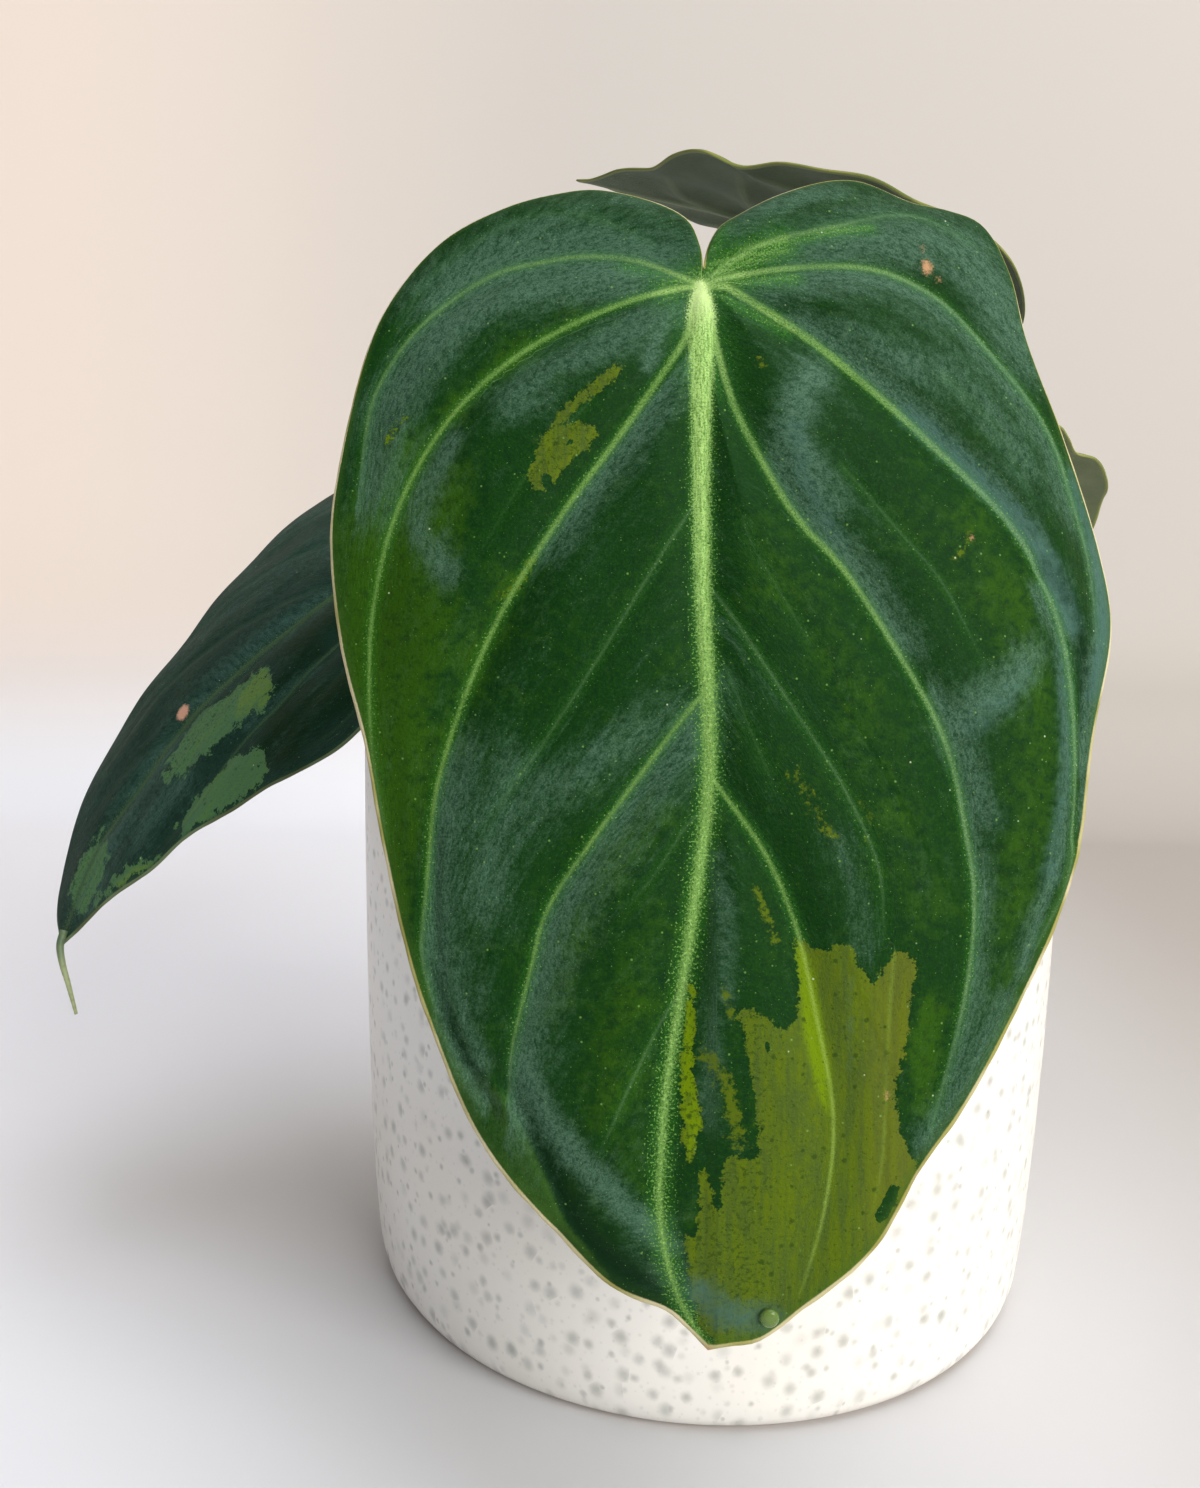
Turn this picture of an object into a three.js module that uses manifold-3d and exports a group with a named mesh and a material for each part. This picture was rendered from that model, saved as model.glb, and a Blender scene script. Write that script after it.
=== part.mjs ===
// A young variegated melanochrysum philodendron in a round glazed pot.
// Millimetres, +Z up, origin at the middle of the pot's base. The largest leaf hangs towards -Y.

import * as THREE from 'three';
import { mergeVertices } from 'three/addons/utils/BufferGeometryUtils.js';
import Module from 'manifold-3d';

// Pot
const POT_HEIGHT = 92;
const POT_RADIUS = 55;
const POT_FOOT_RADIUS = 50.5;
const POT_FOOT_ROUNDING = 7;
const POT_FOOT_SWELL = 2.9;
const POT_BELLY_HEIGHT = 30;
const POT_SHOULDER_HEIGHT = 50;
const POT_WALL = 4.6;
const POT_FLOOR = 7;
const POT_SIDES = 56;

// Soil: its top lies this far below the rim, under a loose layer of bark and pumice lumps
const SOIL_BELOW_RIM = 12;
const SOIL_SIDES = 48;
const SOIL_RINGS = 14;
const LUMP_COUNT = 75;
const LUMP_SMALLEST = 4;
const LUMP_LARGEST = 8;
const LUMP_RISE = 0.5;

// Stem and leaf stalks
const STEM_RADIUS = 4.2;
const STEM_ROUTE = [[10, 6, 62], [11, 6, 84], [9.5, 7, 104], [11.5, 8, 126]];
const STEM_RING_HEIGHTS = [88, 96, 103.5, 110.8, 118];
const STEM_RING_RISE = 2.2;
const STEM_RING_SWELL = 0.6;
const SHEATH_LENGTH = 20;
const STALK_RADIUS = 1.75;
const ROOT_RADIUS = 1;
const ROOT_TIP_ABOVE_SOIL = 4.5;
const ROOTS = [
  { height: 97, reachX: -11, reachY: -9 },
  { height: 90, reachX: 9, reachY: -10 },
];
const STALK_SEAT = 1;

// Clearance that touching pieces keep
const GAP = 0.3;

// Leaf blades
const BLADE_THICKNESS = 0.9;
const MARGIN_THICKNESS = 0.7;
const VEIN_FURROW_WIDTH = 3;
const MARGIN_WAVES = 15;

const wasm = await Module();
wasm.setup();

const plant = new THREE.Group();

function addPiece(name, geometry, color, roughness) {
  const material = new THREE.MeshStandardMaterial({ color, roughness, metalness: 0 });
  const mesh = new THREE.Mesh(geometry, material);
  mesh.name = name;
  plant.add(mesh);
  return mesh;
}

function toSolid(geometry) {
  const bare = geometry.clone();
  bare.deleteAttribute('normal');
  bare.deleteAttribute('uv');
  const merged = mergeVertices(bare, 1e-4);
  return new wasm.Manifold(new wasm.Mesh({
    numProp: 3,
    vertProperties: new Float32Array(merged.attributes.position.array),
    triVerts: new Uint32Array(merged.index.array),
  }));
}

function toGeometry(solid) {
  const mesh = solid.getMesh();
  const geometry = new THREE.BufferGeometry();
  geometry.setAttribute('position', new THREE.BufferAttribute(mesh.vertProperties, 3));
  geometry.setIndex(new THREE.BufferAttribute(mesh.triVerts, 1));
  return geometry;
}

// Repeatable draw of numbers between 0 and 1
function makeRandom(seed) {
  let state = seed;
  return () => {
    state = (state * 16807) % 2147483647;
    return state / 2147483647;
  };
}

// A profile turned about the vertical axis: points are [radius, height]
function turned(profile, sides) {
  const points = profile.map(([radius, height]) => new THREE.Vector2(radius, height));
  return new THREE.LatheGeometry(points, sides).rotateX(Math.PI / 2);
}

function curveThrough(points) {
  return new THREE.CatmullRomCurve3(points.map((p) => new THREE.Vector3(...p)), false, 'centripetal');
}

function tube(curve, radius, steps, halfSides) {
  const section = new THREE.Shape().absarc(0, 0, radius, 0, 2 * Math.PI);
  return new THREE.ExtrudeGeometry(section, { extrudePath: curve, steps, curveSegments: halfSides });
}

// Pot: one thick wall with a rounded foot and lip and a flat base
const wallInnerTop = POT_RADIUS - POT_WALL;
const wallInnerFoot = wallInnerTop - 1.4;
const footCurve = [];
for (let step = 1; step <= 4; step += 1) {
  const angle = (step / 4) * (Math.PI / 2);
  footCurve.push([
    POT_FOOT_RADIUS + POT_FOOT_SWELL * Math.sin(angle),
    POT_FOOT_ROUNDING * (1 - Math.cos(angle)),
  ]);
}
const lipRadius = POT_WALL / 2;
const lipMiddle = POT_RADIUS - lipRadius;
const lipCurve = [];
for (let step = 0; step <= 4; step += 1) {
  const angle = (step / 4) * Math.PI;
  lipCurve.push([lipMiddle + lipRadius * Math.cos(angle), POT_HEIGHT - lipRadius * (1 - Math.sin(angle))]);
}
const potProfile = [
  [0, 0],
  [POT_FOOT_RADIUS, 0],
  ...footCurve,
  [POT_RADIUS - 0.4, POT_BELLY_HEIGHT],
  [POT_RADIUS, POT_SHOULDER_HEIGHT],
  ...lipCurve,
  [wallInnerFoot, POT_FLOOR + 5],
  [wallInnerFoot - 4, POT_FLOOR],
  [0, POT_FLOOR],
];
addPiece('pot', turned(potProfile, POT_SIDES), 0xe7e3d8, 0.28);

// Stem: a climbing shoot with a ring at each joint, two aerial roots and a furled new leaf
const stemCurve = curveThrough(STEM_ROUTE);

function stemAt(height) {
  for (let step = 0; step <= 200; step += 1) {
    const point = stemCurve.getPointAt(step / 200);
    if (point.z >= height) return point;
  }
  return stemCurve.getPointAt(1);
}

function makeStem() {
  let solid = toSolid(tube(stemCurve, STEM_RADIUS, 10, 5));
  for (const height of STEM_RING_HEIGHTS) {
    const centre = stemAt(height);
    const ring = turned([
      [0, -STEM_RING_RISE],
      [STEM_RADIUS - STEM_RING_SWELL, -STEM_RING_RISE],
      [STEM_RADIUS + STEM_RING_SWELL, 0],
      [STEM_RADIUS - STEM_RING_SWELL, STEM_RING_RISE],
      [0, STEM_RING_RISE],
    ], 10).translate(centre.x, centre.y, centre.z);
    solid = solid.add(toSolid(ring));
  }
  const top = stemCurve.getPointAt(1);
  const sheath = turned([
    [0, -5],
    [STEM_RADIUS - 0.5, -5],
    [STEM_RADIUS - 0.2, 0],
    [STEM_RADIUS - 1.4, 0.45 * SHEATH_LENGTH],
    [0.5, 0.95 * SHEATH_LENGTH],
    [0, SHEATH_LENGTH],
  ], 10).rotateY(0.14).translate(top.x - 0.3, top.y, top.z);
  solid = solid.add(toSolid(sheath));
  const soilTop = POT_HEIGHT - SOIL_BELOW_RIM;
  for (const { height, reachX, reachY } of ROOTS) {
    const start = stemAt(height);
    const root = curveThrough([
      [start.x, start.y, height],
      [start.x + 0.5 * reachX, start.y + 0.5 * reachY, height - 1],
      [start.x + 0.9 * reachX, start.y + 0.9 * reachY, height - 5],
      [start.x + reachX, start.y + reachY, soilTop + ROOT_TIP_ABOVE_SOIL],
    ]);
    solid = solid.add(toSolid(tube(root, ROOT_RADIUS, 7, 3)));
  }
  return solid;
}
addPiece('stem', toGeometry(makeStem()), 0x62803f, 0.5);

// Soil: fills the pot to below the rim, with a lumpy top and a plain hole for the stem
function makeSoil() {
  const topHeight = POT_HEIGHT - SOIL_BELOW_RIM;
  const topRadius = wallInnerTop - 0.35 - GAP;
  const footRadius = wallInnerFoot - 4.1 - GAP;
  const profile = [
    [0, POT_FLOOR + GAP],
    [footRadius, POT_FLOOR + GAP],
    [wallInnerFoot - GAP - 0.2, POT_FLOOR + 5 + GAP],
    [topRadius, topHeight],
  ];
  for (let ring = SOIL_RINGS - 1; ring >= 0; ring -= 1) {
    profile.push([topRadius * (ring / SOIL_RINGS), topHeight]);
  }
  const geometry = turned(profile, SOIL_SIDES);
  const random = makeRandom(7);
  const lumps = [];
  for (let count = 0; count < LUMP_COUNT; count += 1) {
    const distance = (topRadius - LUMP_LARGEST) * Math.sqrt(random());
    const angle = 2 * Math.PI * random();
    const radius = LUMP_SMALLEST + (LUMP_LARGEST - LUMP_SMALLEST) * random();
    lumps.push([distance * Math.cos(angle), distance * Math.sin(angle), radius]);
  }
  const position = geometry.attributes.position;
  for (let index = 0; index < position.count; index += 1) {
    const x = position.getX(index);
    const y = position.getY(index);
    if (position.getZ(index) < topHeight - 0.01 || Math.hypot(x, y) > topRadius - 0.5) continue;
    let rise = 0;
    for (const [lumpX, lumpY, radius] of lumps) {
      const far = Math.hypot(x - lumpX, y - lumpY) / radius;
      if (far < 1) rise = Math.max(rise, LUMP_RISE * radius * Math.sqrt(1 - far ** 4));
    }
    position.setZ(index, topHeight - 1 + rise);
  }
  const stemHole = tube(stemCurve, STEM_RADIUS + GAP + 0.15, 10, 5);
  const foot = stemCurve.getPointAt(0);
  const holeEnd = new THREE.CylinderGeometry(STEM_RADIUS + GAP + 0.15, STEM_RADIUS + GAP + 0.15, 2, 10)
    .rotateX(Math.PI / 2).translate(foot.x, foot.y, foot.z + 0.4);
  return toSolid(geometry).subtract(toSolid(stemHole)).subtract(toSolid(holeEnd));
}
addPiece('soil', toGeometry(makeSoil()), 0x3b2b20, 0.95);

// A leaf blade is drawn in its own plane: the stalk joins it at the origin, u runs to the right
// seen from the upper face, and v runs from the stalk to the tip. Both margins are listed from
// the notch behind the stalk, round the rear lobe, to the tip. Veins are lists of [u, v].
const FRONT_LEAF = {
  base: [-7.4, -58, 142.7],
  tip: [-5.3, -82, 32.8],
  upper: [0, -1, 0.1],
  left: [[0.3, -2], [-0.2, -5], [-1.2, -8], [-4.5, -10.5], [-11.5, -13], [-22, -11], [-29.5, -7.5],
    [-35, -0.5], [-38.5, 10], [-40.5, 22], [-40.5, 29.5], [-39, 40], [-34, 60.5], [-29, 78.5],
    [-24, 90], [-16.5, 99.5], [-10, 106], [-4, 108.5], [0, 112.4]],
  right: [[0.3, -2], [0.9, -5], [2.2, -7.5], [4, -9], [9.5, -12], [18, -14.5], [25, -12.5], [33, -10.5],
    [36.5, -4.5], [38, 4], [41.5, 16], [46, 27.5], [47, 35.5], [43.5, 48], [41, 59], [35, 73.5],
    [26, 88.5], [17, 102], [10, 108], [5.5, 111.5], [0, 112.4]],
  veins: [
    [[0, 0], [-0.5, 31.5], [0, 52], [-1.5, 66], [-4.5, 86], [-5, 98], [-3, 107], [0, 112]],
    [[0, 0], [-6.5, -3], [-18.5, -3.5], [-31, 3], [-37, 15]],
    [[0, 0], [-8, 2], [-18, 6.5], [-30, 18.5], [-35.5, 36.5], [-35, 51.5]],
    [[0, 7], [-8.5, 17], [-21.5, 37], [-28, 55], [-29.5, 72], [-28.5, 76.5]],
    [[0, 45], [-6.5, 53], [-16.5, 67.5], [-20, 81.5], [-19, 91], [-14.5, 100]],
    [[0, 0], [7, -5], [15, -7.5], [24.5, -10], [31.5, -7]],
    [[0, 0], [11, -2.5], [20.5, -2.5], [33.5, 7.5], [42, 23], [43.5, 28]],
    [[0, 0], [16.5, 10.5], [32, 25], [39.5, 40.5], [40, 53], [38.5, 64.5]],
    [[0, 9], [9.5, 27], [19.5, 40.5], [27, 61], [26.5, 75.5], [23, 89.5]],
    [[0, 53.5], [5.5, 61.5], [10.5, 77], [12.5, 88.5], [9.5, 106]],
  ],
  bow: 6,
  sideDroop: 0.0045,
  rightRoll: 0.02,
  rollStart: 34,
  lobeDroop: 0,
  quilting: 1.3,
  wave: 0.5,
  rings: 13,
  sidePoints: 36,
};

const LEFT_LEAF = {
  base: [-42.8, 12, 120.5],
  tip: [-101.5, -12, 52.5],
  upper: [-0.44, -0.52, 0.66],
  left: [[0.2, -2], [-2, -6], [-8, -11.5], [-17, -14], [-29, -12], [-37, -4], [-40.5, 5], [-37.5, 18],
    [-32.5, 31.5], [-27, 46], [-24, 59], [-21.5, 70], [-17.5, 80], [-13, 86.5], [-7, 91], [0, 94]],
  right: [[0.2, -2], [2.5, -6], [8, -11], [17, -12], [24, -6], [28, 4], [30.5, 16], [32.3, 28],
    [32.5, 40], [29.5, 48.5], [22.5, 59], [17, 67.5], [9.5, 80], [4, 88], [0, 94]],
  veins: [
    [[0, 0], [0, 30], [-2, 50], [-2.5, 66], [0, 92]],
    [[0, 0], [-14, -2], [-28, 6], [-33, 20]],
    [[0, 3], [-14, 14], [-24, 32], [-25, 50]],
    [[0, 20], [-10, 34], [-17, 52], [-17, 70]],
    [[0, 0], [13, -1], [24, 9], [28, 28]],
    [[0, 3], [10, 18], [13.7, 32], [14, 50], [15, 64], [13.5, 69.5]],
    [[0, 42], [5, 54], [8, 66], [7, 78]],
  ],
  bow: 8,
  sideDroop: 0.0012,
  rightRoll: 0,
  rollStart: 0,
  lobeDroop: 0.01,
  quilting: 1.1,
  wave: 0.6,
  rings: 10,
  sidePoints: 26,
};

const REAR_LEAF = {
  base: [41.9, 33, 165.6],
  tip: [-23.6, 30, 180],
  upper: [0.2, 0, 1],
  left: [[-0.3, -2], [-3, -7], [-8, -11], [-14, -11], [-19.5, -5], [-21.5, 6], [-21.5, 17], [-19, 27],
    [-15, 35], [-11, 42], [-7, 48], [-3.5, 54], [-1.2, 60], [0, 67]],
  right: [[-0.3, -2], [2.5, -8], [8, -13.5], [15.5, -12.5], [21, -4], [24, 8], [26.5, 19], [26.5, 27],
    [24, 35], [21, 40.5], [22, 47.5], [18.5, 52], [13, 55], [8, 60.5], [3, 64.5], [0, 67]],
  veins: [
    [[0, 0], [1, 31], [0, 65]],
    [[0, 0], [11, 0], [20, 8], [23, 20]],
    [[0, 4], [9, 14], [17, 28], [19, 38]],
    [[0, 20], [6, 32], [13, 44]],
    [[0, 0], [-9, 0], [-17, 8], [-18, 18]],
    [[0, 4], [-8, 14], [-13, 27]],
    [[0, 20], [-5, 32], [-8, 42]],
  ],
  bow: 1,
  sideDroop: -0.004,
  rightRoll: 0,
  rollStart: 0,
  lobeDroop: 0.04,
  quilting: 0.9,
  wave: 0.8,
  rings: 9,
  sidePoints: 24,
};

const RIGHT_LEAF = {
  base: [46, 24, 134],
  tip: [58, 92, 92],
  upper: [0.1, 0.5, 0.86],
  left: [[0, -2], [-3, -8], [-8, -12.5], [-13, -12.8], [-16.2, -8], [-18.8, -2.5], [-22.6, 1.2],
    [-26, 7.5], [-27.3, 14], [-28, 24], [-27.5, 34], [-24, 48], [-17, 62], [-8, 74], [0, 81]],
  right: [[0, -2], [4, -8.5], [12, -12.5], [20, -9.5], [26, 0], [28, 12], [28, 26], [26, 38],
    [22, 50], [15, 63], [7, 74], [0, 81]],
  veins: [
    [[0, 0], [0.5, 40], [0, 79]],
    [[0, 0], [-11, -2], [-19, 8], [-23, 24]],
    [[0, 4], [-10, 16], [-18, 34], [-19, 46]],
    [[0, 24], [-8, 38], [-12, 56]],
    [[0, 0], [12, -2], [21, 6], [25, 22]],
    [[0, 4], [11, 17], [19, 34], [20, 44]],
    [[0, 24], [8, 38], [12, 54]],
  ],
  bow: 6,
  sideDroop: 0.003,
  rightRoll: 0,
  rollStart: 0,
  lobeDroop: 0,
  quilting: 1,
  wave: 0.7,
  rings: 9,
  sidePoints: 24,
};

function smoothPath(points, count) {
  const curve = new THREE.CatmullRomCurve3(
    points.map(([u, v]) => new THREE.Vector3(u, v, 0)), false, 'centripetal');
  return curve.getSpacedPoints(count).map((point) => [point.x, point.y]);
}

function distanceToPath(u, v, path) {
  let nearest = Infinity;
  for (let index = 1; index < path.length; index += 1) {
    const [startU, startV] = path[index - 1];
    const stepU = path[index][0] - startU;
    const stepV = path[index][1] - startV;
    const along = ((u - startU) * stepU + (v - startV) * stepV) / (stepU * stepU + stepV * stepV);
    const held = Math.min(1, Math.max(0, along));
    nearest = Math.min(nearest, Math.hypot(u - startU - held * stepU, v - startV - held * stepV));
  }
  return nearest;
}

// Height of the blade's middle above its plane. Veins lie in furrows and the blade swells
// between them. reach runs from 0 at the stalk to 1 at the margin, turn counts the margin's waves.
function bladeHeight(leaf, veinPaths, length, u, v, reach, turn) {
  const share = v / length;
  let height = 4 * leaf.bow * share * (1 - share);
  height -= leaf.sideDroop * u * u;
  if (u > leaf.rollStart) height -= leaf.rightRoll * (u - leaf.rollStart) ** 2;
  if (v < 0) height -= leaf.lobeDroop * v * v;
  let veinDistance = Infinity;
  for (const path of veinPaths) veinDistance = Math.min(veinDistance, distanceToPath(u, v, path));
  const swell = 1 - Math.exp(-((veinDistance / VEIN_FURROW_WIDTH) ** 2));
  height += leaf.quilting * swell * (1 - reach ** 6);
  height += leaf.wave * Math.sin(turn) * reach ** 5;
  return height;
}

// Axes of a leaf in the plant: across, back towards the stalk, and out of the upper face
function leafAxes(leaf) {
  const along = new THREE.Vector3(...leaf.tip).sub(new THREE.Vector3(...leaf.base));
  const length = along.length();
  along.normalize();
  const upper = new THREE.Vector3(...leaf.upper);
  upper.addScaledVector(along, -upper.dot(along)).normalize();
  const across = new THREE.Vector3().crossVectors(upper, along);
  return { along, upper, across, length };
}

function bladeGeometry(leaf) {
  const { length } = leafAxes(leaf);
  const veinPaths = leaf.veins.map((vein) => smoothPath(vein, 24));
  const leftMargin = smoothPath(leaf.left, leaf.sidePoints);
  const rightMargin = smoothPath(leaf.right, leaf.sidePoints);
  const margin = [...leftMargin, ...rightMargin.slice(1, -1).reverse()];
  const positions = [];
  const faces = [];
  const rowLength = margin.length;
  for (const side of [1, -1]) {
    positions.push(0, 0, (side * BLADE_THICKNESS) / 2);
    for (let ring = 1; ring <= leaf.rings; ring += 1) {
      const reach = ring / leaf.rings;
      margin.forEach(([marginU, marginV], spot) => {
        const u = marginU * reach;
        const v = marginV * reach;
        const turn = (2 * Math.PI * MARGIN_WAVES * spot) / rowLength;
        const height = bladeHeight(leaf, veinPaths, length, u, v, reach, turn);
        const thickness = BLADE_THICKNESS + (MARGIN_THICKNESS - BLADE_THICKNESS) * reach;
        positions.push(u, -v, height + (side * thickness) / 2);
      });
    }
  }
  const faceSize = 1 + leaf.rings * rowLength;
  const at = (side, ring, spot) => side * faceSize
    + (ring === 0 ? 0 : 1 + (ring - 1) * rowLength + (spot % rowLength));
  for (const side of [0, 1]) {
    const add = (a, b, c) => (side === 0 ? faces.push(a, b, c) : faces.push(a, c, b));
    for (let spot = 0; spot < rowLength; spot += 1) {
      add(at(side, 0, 0), at(side, 1, spot), at(side, 1, spot + 1));
      for (let ring = 1; ring < leaf.rings; ring += 1) {
        const inner = at(side, ring, spot);
        const innerNext = at(side, ring, spot + 1);
        const outer = at(side, ring + 1, spot);
        const outerNext = at(side, ring + 1, spot + 1);
        add(inner, outer, outerNext);
        add(inner, outerNext, innerNext);
      }
    }
  }
  for (let spot = 0; spot < rowLength; spot += 1) {
    const top = at(0, leaf.rings, spot);
    const topNext = at(0, leaf.rings, spot + 1);
    const under = at(1, leaf.rings, spot);
    const underNext = at(1, leaf.rings, spot + 1);
    faces.push(top, under, underNext, top, underNext, topNext);
  }
  const geometry = new THREE.BufferGeometry();
  geometry.setAttribute('position', new THREE.Float32BufferAttribute(positions, 3));
  geometry.setIndex(faces);
  return geometry;
}

// The left leaf ends in a thread-like drip tip that hangs straight down
function addDripTip(geometry, leaf) {
  const { length } = leafAxes(leaf);
  const tail = curveThrough([
    [0.2, -(length - 5), 0.8],
    [0.4, -length, -0.4],
    [2, -(length + 3.5), -4.2],
    [3.8, -(length + 7), -9],
  ]);
  return toGeometry(toSolid(geometry).add(toSolid(tube(tail, 0.5, 10, 4))));
}

function addLeaf(name, leaf, geometry, color, roughness) {
  const { along, upper, across } = leafAxes(leaf);
  const mesh = addPiece(name, geometry, color, roughness);
  const turn = new THREE.Matrix4().makeBasis(across, along.negate(), upper);
  mesh.quaternion.setFromRotationMatrix(turn);
  mesh.position.set(...leaf.base);
}

addLeaf('leaf_front', FRONT_LEAF, bladeGeometry(FRONT_LEAF), 0x23502a, 0.55);
addLeaf('leaf_left', LEFT_LEAF, addDripTip(bladeGeometry(LEFT_LEAF), LEFT_LEAF), 0x26443b, 0.55);
addLeaf('leaf_rear', REAR_LEAF, bladeGeometry(REAR_LEAF), 0x3d4a3a, 0.6);
addLeaf('leaf_right', RIGHT_LEAF, bladeGeometry(RIGHT_LEAF), 0x3d4a3a, 0.6);

// A leaf stalk rises from the stem and meets the underside of its blade square on, at the notch
function addStalk(name, leaf, stemHeight, middle) {
  const { upper, length } = leafAxes(leaf);
  const slopeRoom = (4 * leaf.bow / length) * STALK_RADIUS;
  const below = BLADE_THICKNESS / 2 + GAP + slopeRoom;
  const end = new THREE.Vector3(...leaf.base).addScaledVector(upper, -below);
  const nearEnd = end.clone().addScaledVector(upper, -3);
  const approach = end.clone().addScaledVector(upper, -8);
  const root = stemAt(stemHeight);
  const outward = new THREE.Vector3(middle[0][0] - root.x, middle[0][1] - root.y, 0).normalize();
  const start = root.clone().addScaledVector(outward, STEM_RADIUS + STALK_SEAT);
  const afterStart = start.clone().addScaledVector(outward, 2.5).add(new THREE.Vector3(0, 0, 1));
  const route = [start, afterStart, ...middle.map((p) => new THREE.Vector3(...p)), approach, nearEnd, end];
  const curve = new THREE.CatmullRomCurve3(route, false, 'centripetal');
  addPiece(name, tube(curve, STALK_RADIUS, 16, 4), 0x7d9c55, 0.5);
}

addStalk('stalk_front', FRONT_LEAF, 107.5, [[7, -10, 119], [2, -30, 134]]);
addStalk('stalk_left', LEFT_LEAF, 100, [[-6, 9, 105], [-22, 15, 109]]);
addStalk('stalk_rear', REAR_LEAF, 121.5, [[17, 14, 132], [20, 24, 148], [32, 31, 154]]);
addStalk('stalk_right', RIGHT_LEAF, 114.5, [[24, 10, 117], [37, 15, 120]]);

export default plant;
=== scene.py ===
import math
from random import Random

import bmesh
import bpy
import numpy as np
from mathutils import Matrix, Vector, noise


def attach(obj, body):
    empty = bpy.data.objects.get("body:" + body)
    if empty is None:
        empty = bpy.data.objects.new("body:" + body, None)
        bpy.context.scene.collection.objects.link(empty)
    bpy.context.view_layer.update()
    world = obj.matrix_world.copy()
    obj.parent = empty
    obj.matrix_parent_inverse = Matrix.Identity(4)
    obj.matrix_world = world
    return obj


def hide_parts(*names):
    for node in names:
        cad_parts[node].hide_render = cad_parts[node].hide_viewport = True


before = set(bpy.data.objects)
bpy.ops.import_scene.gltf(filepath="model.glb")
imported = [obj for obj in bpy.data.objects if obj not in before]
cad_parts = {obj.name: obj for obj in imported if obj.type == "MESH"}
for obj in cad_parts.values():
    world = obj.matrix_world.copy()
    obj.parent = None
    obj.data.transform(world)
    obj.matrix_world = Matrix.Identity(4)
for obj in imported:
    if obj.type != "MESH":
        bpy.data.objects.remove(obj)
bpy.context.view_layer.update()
MM = 0.001


# Pot: wheel-thrown stoneware under an off-white glaze, with a rounded foot and lip. The glaze is
# sprinkled with soft grey-green iron specks, and the foot ring that the pot stands on is bare clay.
POT_PROFILE = [
    (0, 1.2), (44.5, 1.2), (45.4, 0.2), (46, 0), (49.6, 0), (50.5, 0.15), (51.6, 0.9), (52.5, 2.4),
    (53.1, 4.4), (53.4, 7), (54, 15), (54.5, 27), (54.85, 40), (55, 54), (55, 72), (55, 88.6),
    (54.85, 90), (54.4, 91.1), (53.6, 91.8), (52.7, 92), (51.8, 91.8), (51, 91.1), (50.5, 90),
    (50.3, 88.4), (49.8, 60), (49.2, 30), (48.9, 14), (47.8, 10), (45.5, 7.8), (42, 7), (0, 7),
]
POT_SIDES = 168
POT_WOBBLE = 0.16
GLAZE_WHITE = "#f2f0ea"
GLAZE_WARM = "#efe8dc"
GLAZE_ROUGHNESS = 0.34
SPECK_SIZES = [(300, 0.1, 0.25, 0.5), (235, 0.05, 0.16, 0.42), (640, 0.05, 0.14, 0.16)]
SPECK_GREEN = "#949990"
SPECK_DARK = "#70746c"
BARE_CLAY = "#b39b80"


def colour(code):
    """A colour written in hexadecimal, as the linear values that a shader takes."""
    parts = [int(code[place:place + 2], 16) / 255 for place in (1, 3, 5)]
    return [part / 12.92 if part <= 0.04045 else ((part + 0.055) / 1.055) ** 2.4 for part in parts] + [1]


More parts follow.
